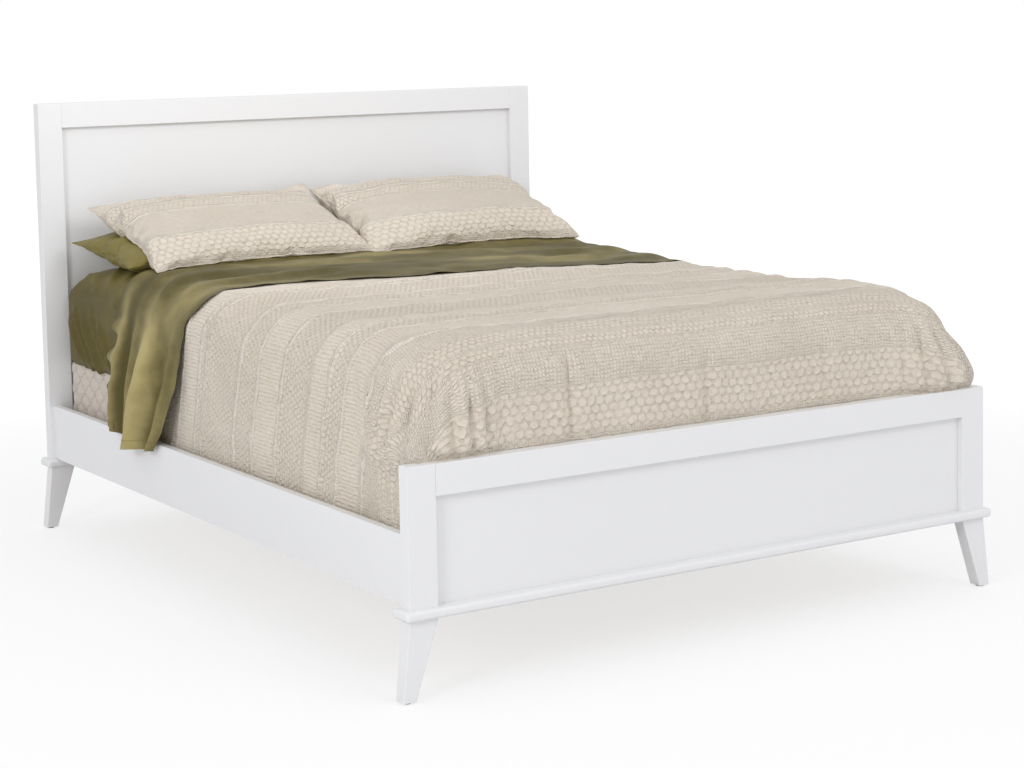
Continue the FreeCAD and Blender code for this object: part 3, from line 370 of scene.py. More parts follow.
def wrapped(name, wrap, levels, lift, floor=False):
    """A cloth or cover round the bed. levels run down from the flat top: inset, height, way down and
    the head and foot corner radius. lift moves each point outward by its place in the flat cloth."""
    build = bmesh.new()
    facts = {}
    total = len(wrap.columns)
    low = levels[-1]
    around, way = [], 0.0
    spots = wrap.outline(HALF_WIDTH - low[0], HALF_LENGTH - low[0], low[3], low[4], low[1])
    for n, spot in enumerate(spots):
        way += (spot - spots[n - 1]).length if n else 0.0
        around.append(way)
    rings = []
    for inset, z, down, head_radius, foot_radius in levels:
        ring = []
        for n in range(total):
            (x, y), out = wrap.spot(n, HALF_WIDTH - inset, HALF_LENGTH - inset, head_radius, foot_radius)
            point = build.verts.new((x, y, z))
            base = rings[0][n].co if rings else point.co
            flat_x = x + (base.x + out[0] * down - x) * abs(out[0])
            flat_y = y + (base.y + out[1] * down - y) * abs(out[1])
            facts[point] = (flat_x, flat_y, down, around[n])
            ring.append(point)
        rings.append(ring)
    skinned(build, [ring + ring[:1] for ring in rings] if wrap.closed else rings)

    def fill(ring, flip):
        """Closes a ring with a flat grid of faces, facing down if flipped."""
        grid = []
        for place, (a, b) in enumerate(wrap.rows):
            if place == len(wrap.rows) - 1:
                grid.append([ring[n] for n in wrap.foot_row])
            elif wrap.closed and place == 0:
                grid.append([ring[n] for n in wrap.head_row])
            else:
                inner = []
                for k in range(1, wrap.across):
                    point = build.verts.new(ring[a].co.lerp(ring[b].co, k / wrap.across))
                    facts[point] = (point.co.x, point.co.y, 0.0, 0.0)
                    inner.append(point)
                grid.append([ring[a]] + inner + [ring[b]])
        skinned(build, grid, flip)

    fill(rings[0], False)
    if floor:
        fill(rings[-1], True)
    build.normal_update()
    moves = [(point, point.normal * lift(*facts[point], point.co)) for point in build.verts]
    for point, move in moves:
        point.co += move
    mapped(build, {point: fact[:2] for point, fact in facts.items()})
    return finished(name, build)


def finished(name, build):
    """The object of a mesh that is ready, in the scene."""
    mesh = bpy.data.meshes.new(name)
    build.to_mesh(mesh)
    build.free()
    piece = bpy.data.objects.new(name, mesh)
    bpy.context.scene.collection.objects.link(piece)
    return piece


def wave(x, y, z, pitch, seed=0.0):
    """Smooth hills and dips between -1 and 1 with about this pitch in metres."""
    return noise.noise(Vector((x / pitch + seed, y / pitch - seed, z / pitch + 0.37 * seed)))


def smooth(value, low, high):
    """0 below low, 1 above high, and smooth between them."""
    share = min(max((value - low) / (high - low), 0.0), 1.0)
    return share * share * (3 - 2 * share)


DIAMOND_ROUND, DIAMOND_UP = 0.070, 0.058
TICKING_THREADS = 4200.0
SPRIG_SCALE = 55.0
TICKING_DEPTH, QUILT_DEPTH = 0.0001, 0.0012


def quilted_ticking():
    """Pale damask ticking, sewn through to its wadding along crossing lines, with painted shade in the
    grooves of the sewn lines.
    """
    finish = Finish("quilted_ticking", {"Specular IOR Level": 0.2, "Sheen Weight": 0.25,
                                        "Sheen Roughness": 0.5})
    place = finish.where()
    x, y, z = finish.apart(place)
    weave = finish.maths("SINE", (x + y) * TICKING_THREADS) * finish.maths("SINE", z * TICKING_THREADS)
    sprig = finish.node("ShaderNodeTexVoronoi", {"feature": "SMOOTH_F1"},
                        {"Vector": place, "Scale": SPRIG_SCALE})
    damask = Level(finish, sprig.outputs["Distance"]).rising(0.25, 0.45)
    soft = finish.cloudy(place, 6.0, 3.0)
    flat = (x + y) / DIAMOND_ROUND
    lines = [finish.maths("ABSOLUTE", finish.maths("SINE", math.pi * (flat + way * z / DIAMOND_UP)))
             for way in (1.0, -1.0)]
    sewn = finish.maths("MINIMUM", *lines).rising(0.0, 0.16)
    cover = finish.tint(linear("D6CCC0"), linear("CCC1B4"), damask * 0.4 + soft * 0.4)
    return finish.dress(
        # Painted shade: the colour darkens towards A89C8E along the sewn lines, as the shade in their
        # grooves
        Base_Color=finish.tint(linear("A89C8E"), cover, 0.35 + 0.65 * sewn),
        Roughness=0.74 + 0.1 * damask,
        Normal=finish.relief(weave, TICKING_DEPTH, finish.relief(sewn, QUILT_DEPTH)))


TICKING = quilted_ticking()
SPRING_LOW, SPRING_HIGH = [Vector(corner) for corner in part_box("box_spring")]
SPRING_CORNER = 0.035
QUILT_RISE, QUILT_EDGE, QUILT_INSET = 0.0075, 0.02, 0.0012
QUILT_FULLNESS, QUILT_MEAN = 0.55, 0.45
TAPE_RADIUS, TAPE_STEP, TAPE_EDGE = 0.0021, 0.02, 0.008


def diamond(flat_x, flat_y, down, around, place):
    """How far the sewn diamonds swell out: nothing on the sewn lines, most in the middles."""
    if down <= 0:
        return 0.0
    first = (place.x + place.y) / DIAMOND_ROUND + place.z / DIAMOND_UP
    second = (place.x + place.y) / DIAMOND_ROUND - place.z / DIAMOND_UP
    swell = (abs(math.sin(math.pi * first)) * abs(math.sin(math.pi * second))) ** QUILT_FULLNESS
    low_edge = smooth(place.z, SPRING_LOW.z, SPRING_LOW.z + QUILT_EDGE)
    high_edge = smooth(SPRING_HIGH.z - place.z, 0.0, QUILT_EDGE)
    return QUILT_RISE * (swell - QUILT_MEAN) * low_edge * high_edge - QUILT_INSET


SPRING_ROUND, SPRING_BEVEL = 0.010, 0.003
SIDE_STEP, SIDE_STEPS, SIDE_FROM = 0.0061, 35, 0.015
SPRING_HEIGHTS = [(SPRING_ROUND, SPRING_HIGH.z, 0.0), (SPRING_BEVEL, SPRING_HIGH.z - SPRING_BEVEL, 0.01)]
SPRING_HEIGHTS += [(0.0, SPRING_HIGH.z - SPRING_ROUND - step * SIDE_STEP, SIDE_FROM + step * SIDE_STEP)
                   for step in range(SIDE_STEPS)]
SPRING_HEIGHTS += [(SPRING_BEVEL, SPRING_LOW.z + SPRING_BEVEL, 0.22), (SPRING_ROUND, SPRING_LOW.z, 0.23)]
spring_levels = [level + (SPRING_CORNER, SPRING_CORNER) for level in SPRING_HEIGHTS]
spring_wrap = Wrap(step=0.0085, corner_steps=40)
box_spring = wrapped("box_spring_cover", spring_wrap, spring_levels, diamond, floor=True)
box_spring.data.materials.append(TICKING)
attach(box_spring, "box_spring_body")
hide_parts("box_spring")


class Rule(Tree):
    """A Geometry Nodes tree with named inputs, which ends in real, coated geometry."""

    def __init__(self, name, sizes):
        super().__init__(bpy.data.node_groups.new(name, "GeometryNodeTree"))
        face = self.tree.interface
        face.new_socket("Geometry", in_out="INPUT", socket_type="NodeSocketGeometry")
        for size, kind in sizes:
            face.new_socket(size, in_out="INPUT", socket_type=kind)
        face.new_socket("Geometry", in_out="OUTPUT", socket_type="NodeSocketGeometry")
        self.given = self.node("NodeGroupInput").outputs

    def spaced(self):
        """The bare line that is given, as a curve with a point at every step."""
        line = self.node("GeometryNodeMeshToCurve", None, {"Mesh": self.given["Geometry"]}).outputs[0]
        return self.node("GeometryNodeResampleCurve", {"mode": "LENGTH"},
                         {"Curve": line, "Length": self.given["Step"]}).outputs[0]

    def ends(self, geometry):
        real = self.node("GeometryNodeRealizeInstances", None, {"Geometry": geometry}).outputs[0]
        coated = self.node("GeometryNodeSetMaterial", None,
                           {"Geometry": real, "Material": self.given["Material"]}).outputs[0]
        self.feed(self.node("NodeGroupOutput").inputs["Geometry"], coated)


def piping_rule():
    """A cord of the given radius along every edge of a bare line."""
    rule = Rule("piping", [("Radius", "NodeSocketFloat"), ("Step", "NodeSocketFloat"),
                           ("Material", "NodeSocketMaterial")])
    section = rule.node("GeometryNodeCurvePrimitiveCircle", None,
                        {"Resolution": 8, "Radius": rule.given["Radius"]}).outputs[0]
    rule.ends(rule.node("GeometryNodeCurveToMesh", None,
                        {"Curve": rule.spaced(), "Profile Curve": section}).outputs[0])
    return rule.tree


def stitch_rule():
    """A row of short threads laid along every edge of a bare line."""
    rule = Rule("stitches", [("Radius", "NodeSocketFloat"), ("Step", "NodeSocketFloat"),
                             ("Thread", "NodeSocketFloat"), ("Material", "NodeSocketMaterial")])
    thread = rule.node("GeometryNodeMeshCylinder", None,
                       {"Vertices": 6, "Radius": rule.given["Radius"], "Depth": rule.given["Thread"]})
    tangent = rule.node("GeometryNodeInputTangent").outputs[0]
    turned = rule.node("FunctionNodeAlignEulerToVector", {"axis": "Z"}, {"Vector": tangent}).outputs[0]
    rule.ends(rule.node("GeometryNodeInstanceOnPoints", None,
                        {"Points": rule.spaced(), "Instance": thread.outputs[0],
                         "Rotation": turned}).outputs[0])
    return rule.tree


PIPING, STITCHES = piping_rule(), stitch_rule()


def lined(name, lines, tree, material, sizes):
    """Runs a rule along lines, each a list of points and whether it closes, and keeps the plain mesh."""
    build = bmesh.new()
    for points, closed in lines:
        spots = [build.verts.new(point) for point in points]
        for first, second in zip(spots, spots[1:] + spots[:1] if closed else spots[1:]):
            build.edges.new((first, second))
    piece = finished(name, build)
    rule = piece.modifiers.new("rule", "NODES")
    rule.node_group = tree
    for item in tree.interface.items_tree:
        if item.in_out == "INPUT" and item.name in sizes:
            rule[item.identifier] = sizes[item.name]
        elif item.in_out == "INPUT" and item.name == "Material":
            rule[item.identifier] = material
    seen = piece.evaluated_get(bpy.context.evaluated_depsgraph_get())
    mesh = bpy.data.meshes.new_from_object(seen)
    piece.modifiers.clear()
    piece.data = mesh
    if not mesh.materials:
        mesh.materials.append(material)
    return piece


tape_wrap = Wrap(step=0.02, corner_steps=16)
tapes = [(tape_wrap.outline(HALF_WIDTH, HALF_LENGTH, SPRING_CORNER, SPRING_CORNER, z), True)
         for z in (SPRING_LOW.z + TAPE_EDGE, SPRING_HIGH.z - TAPE_EDGE)]
tape = lined("box_spring_tape", tapes, PIPING, TICKING, {"Radius": TAPE_RADIUS, "Step": TAPE_STEP})
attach(tape, "box_spring_body")

# Mattress. Innerspring with a padded top, in ticking sewn to a border, with a cord on its lower edge.
# The fitted sheet hides it all, so it is plain apart from its shape and cord.

SHOULDER_REACH, SHOULDER_DROP = 0.110, 0.090
TOP_HALF = HALF_WIDTH - SHOULDER_REACH
SIDE_CORNER, FOOT_CORNER = 0.035, 0.120


def bed_levels(offset, z_low, shoulder_steps, side_step):
    """The levels of a cloth that lies this far off the mattress, from its flat top to height z_low."""
    reach, drop = SHOULDER_REACH + offset, SHOULDER_DROP + offset
    top = MATTRESS_HIGH.z + offset
    levels, down, last = [], 0.0, None
    for n in range(shoulder_steps + 1):
        angle = math.pi / 2 * (1 - n / shoulder_steps)
        inset, z = reach * (1 - math.cos(angle)), top - drop * (1 - math.sin(angle))
        down += math.hypot(inset - last[0], z - last[1]) if last else 0.0
        last = (inset, z)
        levels.append((inset - offset, z, down, SIDE_CORNER + offset + inset / 2,
                       FOOT_CORNER + offset + inset / 2))
    count = max(round((last[1] - z_low) / side_step), 1)
    for n in range(1, count + 1):
        z = last[1] + (z_low - last[1]) * n / count
        rise = smooth(z, MATTRESS_LOW.z, last[1])
        levels.append((-offset, z, down + last[1] - z, SIDE_CORNER + offset,
                       SIDE_CORNER + offset + (FOOT_CORNER - SIDE_CORNER) * rise))
    return levels


def plain(flat_x, flat_y, down, around, place):
    """No lift, for what nothing shows of."""
    return 0.0


mattress_levels = bed_levels(0.0, MATTRESS_LOW.z, shoulder_steps=6, side_step=0.03)
mattress_wrap = Wrap(step=0.05, corner_steps=14)
mattress = wrapped("mattress_ticking", mattress_wrap, mattress_levels, plain, floor=True)
mattress.data.materials.append(TICKING)
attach(mattress, "mattress_body")
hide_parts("mattress")

# Fitted sheet. Olive cotton sateen with elastic corners, pulled over the mattress. It stands out a
# little at the sides, creases along the mattress's border and pulls in slanting wrinkles at its corners.


SATEEN_THREADS = 5200.0
SLUB_SCALE = (40.0, 700.0, 700.0)
SATEEN_DEPTH, SLUB_DEPTH, CREASE_DEPTH = 0.00008, 0.00012, 0.0016


def sateen(name, dark, light):
    """Olive cotton sateen: a close weave, slubs and soft creases. Its colour carries a painted sheen: a
    point attribute paints highlight on the crests of folds and on the fitted sheet's top, and below zero
    paints shade."""
    finish = Finish(name, {"Specular IOR Level": 0.22, "Sheen Weight": 0.03, "Sheen Roughness": 0.4,
                           "Sheen Tint": linear("BFB27C")})
    place = finish.where()
    x, y, z = finish.apart(place)
    warp = finish.maths("SINE", (x + 0.6 * z) * SATEEN_THREADS)
    weft = finish.maths("SINE", (y + 0.4 * z) * SATEEN_THREADS)
    slub = finish.cloudy(finish.stretched(place, SLUB_SCALE), 1.0)
    crease = finish.cloudy(place, 24.0, 5.0)
    broad = finish.cloudy(place, 5.0, 3.0)
    crest = Level(finish, finish.node("ShaderNodeAttribute", {"attribute_name": "crest"}).outputs["Fac"])
    # Painted light: the point attribute lightens the colour as painted highlight, or darkens it as
    # painted shade below zero; crease, broad and slub noise vary the tone
    shade = 0.32 * crease + 0.24 * broad + 0.20 * slub + 0.60 * crest
    creased = finish.relief(crease, CREASE_DEPTH)
    return finish.dress(
        Base_Color=finish.tint(linear(dark), linear(light), shade.rising(0.20, 1.05)),
        Roughness=0.38 + 0.16 * crease,
        Normal=finish.relief(warp * weft, SATEEN_DEPTH, finish.relief(slub, SLUB_DEPTH, creased)))


OLIVE = sateen("olive_sateen", "564D22", "8E8149")
FITTED_OFFSET = 0.0016
# How much lighter the fitted sheet's top is painted, as painted highlight, and the heights over which it
# fades in
TOP_PAINTED_LIGHT, PAINTED_LIGHT_FROM, PAINTED_LIGHT_TO = 0.62, 0.685, 0.748
ARC_STEPS = 24
SHOULDER_WAY = bed_levels(0.0, MATTRESS_LOW.z, ARC_STEPS, 0.1)[ARC_STEPS][2]


def near(px, py, line):
    """The height of a crease at a point: full on its line, fading over its width and at its ends."""
    x1, y1, x2, y2, width, height = line
    run = (x2 - x1) ** 2 + (y2 - y1) ** 2
    share = ((px - x1) * (x2 - x1) + (py - y1) * (y2 - y1)) / run
    if not -0.1 < share < 1.1:
        return 0.0
    away = math.hypot(px - x1 - share * (x2 - x1), py - y1 - share * (y2 - y1))
    if away > 3 * width:
        return 0.0
    ends = smooth(share, -0.1, 0.25) * smooth(1 - share, -0.1, 0.25)
    return height * math.exp(-(away / width) ** 2) * ends


# Wrinkles of the sheet near the head. Each runs from one place to another, each given as the way out
# from the flat top and the place along the bed; then its width and height.
FITTED_CREASES = (
    (0.17, 0.99, 0.33, 0.86, 0.011, 0.0085), (0.16, 0.94, 0.34, 0.80, 0.009, 0.0070),
    (0.19, 0.88, 0.35, 0.74, 0.011, 0.0080), (0.17, 0.82, 0.32, 0.70, 0.009, 0.0060),
    (0.20, 0.76, 0.34, 0.64, 0.011, 0.0080), (0.02, 0.97, 0.12, 0.80, 0.010, 0.0050),
    (-0.08, 0.95, 0.10, 0.74, 0.010, 0.0055), (-0.14, 0.90, 0.06, 0.70, 0.012, 0.0050),
    (0.10, 0.72, 0.14, 0.62, 0.010, 0.0045),
)
CREASE_SHARE = 1.8
SIDE_BULGE, BORDER_RISE, BORDER_WIDTH = 0.0085, 0.0125, 0.011
SOFT_RISE, PUCKER_RISE = 0.0036, 0.0012
BORDER_PITCH, SOFT_PITCH, PUCKER_PITCH = 0.16, 0.09, 0.08


def fitted_lift(flat_x, flat_y, down, around, place):
    """The sheet's bulging side, the ridge over the mattress's border, creases and small waves. Only its
    head end shows, and near the headboard there is little room."""
    shown = smooth(flat_y, 0.40, 0.56)
    side = smooth(down, SHOULDER_WAY * 0.9, SHOULDER_WAY + 0.03) * shown
    hem = smooth(place.z - MATTRESS_LOW.z, -0.01, 0.03)
    room = 0.12 + 0.88 * smooth(HALF_LENGTH - abs(place.y), -0.01, 0.11)
    lift = SIDE_BULGE * side * (0.75 + 0.25 * hem)
    border = math.exp(-((down - SHOULDER_WAY * 0.92) / BORDER_WIDTH) ** 2) * shown
    lift += BORDER_RISE * border * (0.8 + 0.4 * wave(around, 0.0, 0.0, BORDER_PITCH))
    across = abs(flat_x) - TOP_HALF
    lift += CREASE_SHARE * sum(near(across, flat_y, crease) for crease in FITTED_CREASES)
    lift += SOFT_RISE * wave(flat_x, flat_y, place.z, SOFT_PITCH)
    lift += PUCKER_RISE * side * wave(around * 3, 0.0, place.z * 0.4, PUCKER_PITCH)
    return lift * room


SINK_DEPTH = 0.013


def dip(x, y):
    """How far the made bed sinks below the flat top, most on its far side near the middle."""
    across = smooth(x, 0.05, 0.60)
    return -SINK_DEPTH * across * smooth(y + 0.80, 0.0, 0.35) * smooth(0.62 - y, 0.0, 0.30)


def settled(piece):
    """Lets a cloth sink with the mattress under it."""
    for point in piece.data.vertices:
        point.co.z += dip(point.co.x, point.co.y) * smooth(point.co.z, 0.56, 0.72)
    return piece


def turned_in(levels, *steps):
    """Levels with the cloth's lower edge turned in under itself by steps of inset, height and way."""
    inset, z, down, *radii = levels[-1]
    return levels + [(inset + inward, z + up, down + on, *radii) for inward, up, on in steps]


settled(mattress)
fitted_levels = bed_levels(FITTED_OFFSET, MATTRESS_LOW.z + 0.0008, shoulder_steps=14, side_step=0.0085)
fitted_levels = turned_in(fitted_levels, (0.004, 0.0015, 0.004), (0.002, 0.008, 0.010))
fitted_wrap = Wrap(step=0.011, corner_steps=56)
fitted = settled(wrapped("fitted_sheet_cloth", fitted_wrap, fitted_levels, fitted_lift))
fitted.data.materials.append(OLIVE)
# Painted highlight: the top of the fitted sheet is painted lighter than its sides, rising over the
# shoulder from height 0.685 to 0.748
painted_top_light = fitted.data.attributes.new("crest", "FLOAT", "POINT")
for n, point in enumerate(fitted.data.vertices):
    painted_top_light.data[n].value = TOP_PAINTED_LIGHT * smooth(point.co.z, PAINTED_LIGHT_FROM, PAINTED_LIGHT_TO)
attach(fitted, "mattress_body")
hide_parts("fitted_sheet")

# Coverlet. One heavy cream cotton cloth with woven bands across the bed: waffle, raised cords, ladder
# ribs and puffed honeycomb. It is tucked in along the rails and at the foot, and gathers at the corners.

# The woven bands, kind and place along the bed from the turned-down sheet to the foot; all between
# them is a fine waffle. The raised cords lie at their edges. Lower down the side they run a little
# further towards the head, because the cloth is drawn down to its corner.
BANDS = (("ladder", 0.053, 0.143), ("comb", 0.008, 0.038), ("comb", -0.185, -0.010),
         ("comb", -0.290, -0.215), ("ladder", -0.415, -0.310), ("comb", -0.560, -0.440),
         ("ladder", -0.645, -0.570), ("comb", -0.720, -0.660), ("ladder", -0.840, -0.745),
         ("comb", -0.970, -0.925), ("comb", -1.017, -0.985), ("waffle", -1.100, -1.020),
         ("wide_comb", -1.215, -1.103))
CORD_HALF = 0.0075
CORDS = (0.148, 0.045, 0.002, -0.200, -0.300, -0.427, -0.653, -0.732, -0.860)
DRAWN_FROM, DRAWN_SHARE = 0.12, 0.28
COVERLET_OFFSET = 0.0072
COVERLET_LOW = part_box("coverlet")[0][2]
COVERLET_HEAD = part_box("coverlet")[1][1]
GATHER_PITCH, GATHER_RISE, GATHER_SHIFT_PITCH = 0.046, 0.028, 0.16
# Folds that run down to the foot's tuck, first the narrow ones that sink in, then the puffs between
# them: from and to, as place across and way towards the foot; then width and height
FOOT_FOLDS = (
    (-0.386, 1.02, -0.380, 1.27, 0.007, -0.0100), (-0.010, 1.06, -0.004, 1.27, 0.007, -0.0090),
    (-0.57, 1.03, -0.58, 1.27, 0.012, -0.0060), (0.34, 1.08, 0.345, 1.27, 0.008, -0.0070),
    (-0.355, 1.00, -0.350, 1.24, 0.022, 0.0070), (-0.415, 1.00, -0.410, 1.24, 0.020, 0.0055),
    (0.020, 1.04, 0.025, 1.24, 0.020, 0.0055), (-0.045, 1.04, -0.040, 1.24, 0.022, 0.0050),
    (0.370, 1.04, 0.375, 1.24, 0.022, 0.0050),
)
# How dark the grooves, the pits and the comb bands are painted, as painted shade; and the share that pits
# take
GROOVE_SHADE_SHARE, COMB_BAND_SHADE, PIT_SHARE = 0.30, 0.09, 0.6
WAFFLE_PITCH, FINE_PITCH, LADDER_PITCH = (0.0090, 0.0084), (0.0074, 0.0070), 0.0098
SMALL_CELL, LARGE_CELL = (0.0155, 0.0130), (0.0250, 0.0190)
YARN_DEPTH, WOVEN_DEPTH, CRUMPLE_DEPTH = 0.0001, 0.0021, 0.0060


def matelasse(name, read_place, bands, cords):
    """The woven bands, with painted light in the colour: lighter on the cords and puffs, painted shade in
    the grooves, pits and comb bands. read_place gives the level across the cloth and the level along it,
    in metres.
    """
    finish = Finish(name, {"Specular IOR Level": 0.15, "Sheen Weight": 0.2, "Sheen Roughness": 0.6,
                           "Sheen Tint": linear("E6DCCB")})
    across, along = read_place(finish)
    place = finish.where()
    wobble = finish.cloudy(place, 13.0, 4.0)
    ruffle = finish.cloudy(place, 60.0, 1.0)
    along = along + 0.014 * wobble + 0.007 * ruffle - 0.010
    across = across + 0.005 * wobble + 0.006 * ruffle
    low = min(start for kind, start, end in bands) - 0.03
    length = max(end for kind, start, end in bands) + 0.03 - low

    def read(stops, interpolation):
        """A row of colours laid along the cloth."""
        ramp = finish.node("ShaderNodeValToRGB", {"stops": stops}, {"Fac": (along - low) / length})
        ramp.color_ramp.interpolation = interpolation
        return ramp.outputs

    bare = (0, 0, 0, 0)
    kinds = {"ladder": (1, 0, 0, 0), "comb": (0, 1, 0, 0), "wide_comb": (0, 0, 1, 0),
             "waffle": (0, 0, 0, 1)}
    stops = [(0.0, bare)]
    for kind, start, end in sorted(bands, key=lambda band: band[1]):
        stops += [((start - low) / length, kinds[kind]), ((end - low) / length, bare)]
    woven = read(stops, "CONSTANT")
    split = finish.node("ShaderNodeSeparateColor", None, {"Color": woven["Color"]}).outputs
    ladders, combs, wide = [Level(finish, socket) for socket in split]
    waffles = Level(finish, woven["Alpha"])
    peaks = [(0.0, (0, 0, 0, 1))]
    for cord in sorted(cords):
        for aside, shade in ((-CORD_HALF, 0), (0, 1), (CORD_HALF, 0)):
            peaks.append(((cord + aside - low) / length, (shade, shade, shade, 1)))
    corded = Level(finish, read(peaks, "EASE")["Color"])

    def ribs(level, pitch):
        return finish.maths("ABSOLUTE", finish.maths("SINE", level * (math.pi / pitch)))

    def squares(pitch):
        """A waffle of small raised squares."""
        return (ribs(across, pitch[0]) * ribs(along, pitch[1])).rising(0.05, 0.60)

    def cells(width, rows):
        """Puffed cells in rows, each row half a cell aside of the next."""
        turn, climb = 2 * math.pi / width, math.pi / rows
        upright = finish.maths("COSINE", along * (2 * climb))
        aslant = 2 * finish.maths("COSINE", across * turn) * finish.maths("COSINE", along * climb)
        return (upright + aslant).rising(-1.45, -0.35)

    waffle, fine = squares(WAFFLE_PITCH), squares(FINE_PITCH)
    ladder = ribs(across, LADDER_PITCH).rising(0.1, 0.8)
    small, large = cells(*SMALL_CELL), cells(*LARGE_CELL)
    rest = 1 - combs - wide - ladders - waffles
    height = combs * small + wide * large + ladders * ladder * 0.55
    height = height + waffles * waffle * 0.9 + rest * fine * 0.8
    yarn = finish.cloudy(place, 700.0, 2.0)
    crumple = finish.cloudy(place, 95.0, 4.0)
    soft = finish.cloudy(place, 5.0, 2.0)
    # Painted light: the colour is lighter on the raised cords, as painted highlight, and a little on the
    # puffs; crumple and soft noise vary the tone
    shade = 0.08 * height + 0.42 * crumple + 0.30 * soft + 0.60 * corded
    # Painted shade: the pits, the grooves round the cells and the comb bands as a whole are painted
    # darker, towards A08F78
    pits = waffles * (1 - waffle) * 0.7 + rest * (1 - fine) * 0.6 + ladders * (1 - ladder) * 0.6
    painted_groove_shade = (0.45 * (combs * (1 - small) + wide * (1 - large)) + PIT_SHARE * pits) * GROOVE_SHADE_SHARE
    painted_groove_shade = painted_groove_shade + COMB_BAND_SHADE * (combs + wide)
    cream = finish.tint(linear("D9CEBF"), linear("F5ECDF"), shade.rising(0.12, 0.80))
    woven_relief = finish.relief(0.9 * height + 2.2 * corded, WOVEN_DEPTH,
                                 finish.relief(crumple, CRUMPLE_DEPTH))
    return finish.dress(
        Base_Color=finish.tint(cream, linear("A08F78"), painted_groove_shade),
        Roughness=0.86 - 0.08 * height,
        Normal=finish.relief(yarn, YARN_DEPTH, woven_relief))


def flat_places(finish):
    """The levels across and along the flat cloth, from the piece's own UV map."""
    return finish.apart(finish.node("ShaderNodeUVMap", {"uv_map": "cloth"}).outputs[0])[:2]


def drawn_places(finish):
    """The same on the coverlet, whose sides are drawn towards the head."""
    across, along = flat_places(finish)
    side = finish.maths("MAXIMUM", finish.maths("ABSOLUTE", across) - (TOP_HALF + DRAWN_FROM), 0.0)
    return across, along - DRAWN_SHARE * side


COVERLET_CREAM = matelasse("cream_matelasse_coverlet", drawn_places, BANDS, CORDS)
# Its unevenness: height, how finely it runs across, pitch, seed
COVERLET_WAVES = ((0.0030, 0.8, 0.036, 3.0), (0.0026, 1.0, 0.10, 7.0), (0.0028, 0.35, 0.16, 11.0))
CORD_RISE, PUFF_RISE, FLARE_RISE, DEEPEST = 0.0042, 0.006, 0.030, -0.0034
CORD_STRAY, CORD_STRAY_PITCH = 0.006, 0.09
LEFT_FLARE = 0.35
BOARD_TOP, RAIL_TOP = 0.52, 0.36
FOOT_FACE = -HALF_LENGTH - 0.004


def cord_rise(flat_x, flat_y):
    """Height of the raised cords at a place on the cloth, matched to the woven pattern."""
    along = flat_y - DRAWN_SHARE * max(abs(flat_x) - TOP_HALF - DRAWN_FROM, 0.0)
    along += CORD_STRAY * wave(flat_x, flat_y, 0.0, CORD_STRAY_PITCH)
    return CORD_RISE * sum(math.exp(-((along - cord) / CORD_HALF) ** 2) for cord in CORDS)


def gathered(flat_x, flat_y, down, around, place):
    """The pleats at the two foot corners, held flat where the footboard and the tuck press on them."""
    shift = 1.8 * wave(around, down * 0.5, 0.0, GATHER_SHIFT_PITCH)
    fold = abs(math.sin(around * math.pi / GATHER_PITCH + shift))
    corner = smooth(abs(flat_x), 0.50, 0.66) * smooth(-flat_y, 0.74, 0.90)
    free = 1.0
    if place.z <= BOARD_TOP:
        beside = place.y > FOOT_FACE
        free = 0.25 + 0.75 * smooth(place.z, BOARD_TOP - 0.08, BOARD_TOP) * beside
    return GATHER_RISE * corner * smooth(down, 0.09, 0.25) * fold ** 0.7 * free


def coverlet_lift(flat_x, flat_y, down, around, place):
    """Cords, unevenness, the puffed side, the foot's folds and the corners, which stand out most on the
    right. There is less room behind the footboard, inside the rails and under the turned-down sheet."""
    lift = cord_rise(flat_x, flat_y)
    for height, fineness, pitch, seed in COVERLET_WAVES:
        lift += height * wave(flat_x * fineness, flat_y, 0.0, pitch, seed)
    lift += sum(near(flat_x, -flat_y, fold) for fold in FOOT_FOLDS)
    side = smooth(down, 0.08, 0.24) * smooth(place.z, 0.37, 0.44)
    puff = PUFF_RISE * side * (1 + wave(flat_x, flat_y, 0.0, 0.30, 5.0))
    corner = smooth(abs(flat_x), 0.55, 0.70) * smooth(-flat_y, 0.80, 0.95)
    flare = corner * smooth(down, 0.14, 0.30) * smooth(place.z, 0.46, 0.53)
    flare *= FLARE_RISE if flat_x > 0 else FLARE_RISE * LEFT_FLARE
    room = 1.0
    if place.y < FOOT_FACE:
        room = 0.35 + 0.65 * smooth(place.z, 0.50, 0.54)
    elif place.z < RAIL_TOP:
        room = 0.5
    under_turndown = smooth(flat_y, 0.02, 0.16)
    lift = lift * (1 - 0.7 * under_turndown) + puff * (1 - 0.9 * under_turndown)
    return max(lift * room + flare + gathered(flat_x, flat_y, down, around, place), DEEPEST)


coverlet_levels = bed_levels(COVERLET_OFFSET, COVERLET_LOW, shoulder_steps=20, side_step=0.0078)
coverlet_levels = turned_in(coverlet_levels, (0.003, 0.001, 0.003), (0.003, 0.010, 0.012))
coverlet_wrap = Wrap(step=0.0078, corner_steps=70, head=COVERLET_HEAD)
SIDE_DRAW = 0.075
coverlet = settled(wrapped("coverlet_cloth", coverlet_wrap, coverlet_levels, coverlet_lift))
for point in coverlet.data.vertices:
    beside = smooth(abs(point.co.x), TOP_HALF + 0.02, HALF_WIDTH - 0.01)
    point.co.y -= SIDE_DRAW * beside * smooth(point.co.y, 0.36, COVERLET_HEAD)
coverlet.data.materials.append(COVERLET_CREAM)
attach(coverlet, "mattress_body")
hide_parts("coverlet")

# Flat sheet. Olive sateen, the same as the fitted one. It lies under the coverlet, folds back over it
# at the head in a wide band, and hangs over both rails in soft folds with a sewn hem.

TURN_OFFSET = 0.0125
FOLD_LINE = 0.640
UNDER_OFFSET = 0.0034
FALL_FROM = MATTRESS_HIGH.z - SHOULDER_DROP
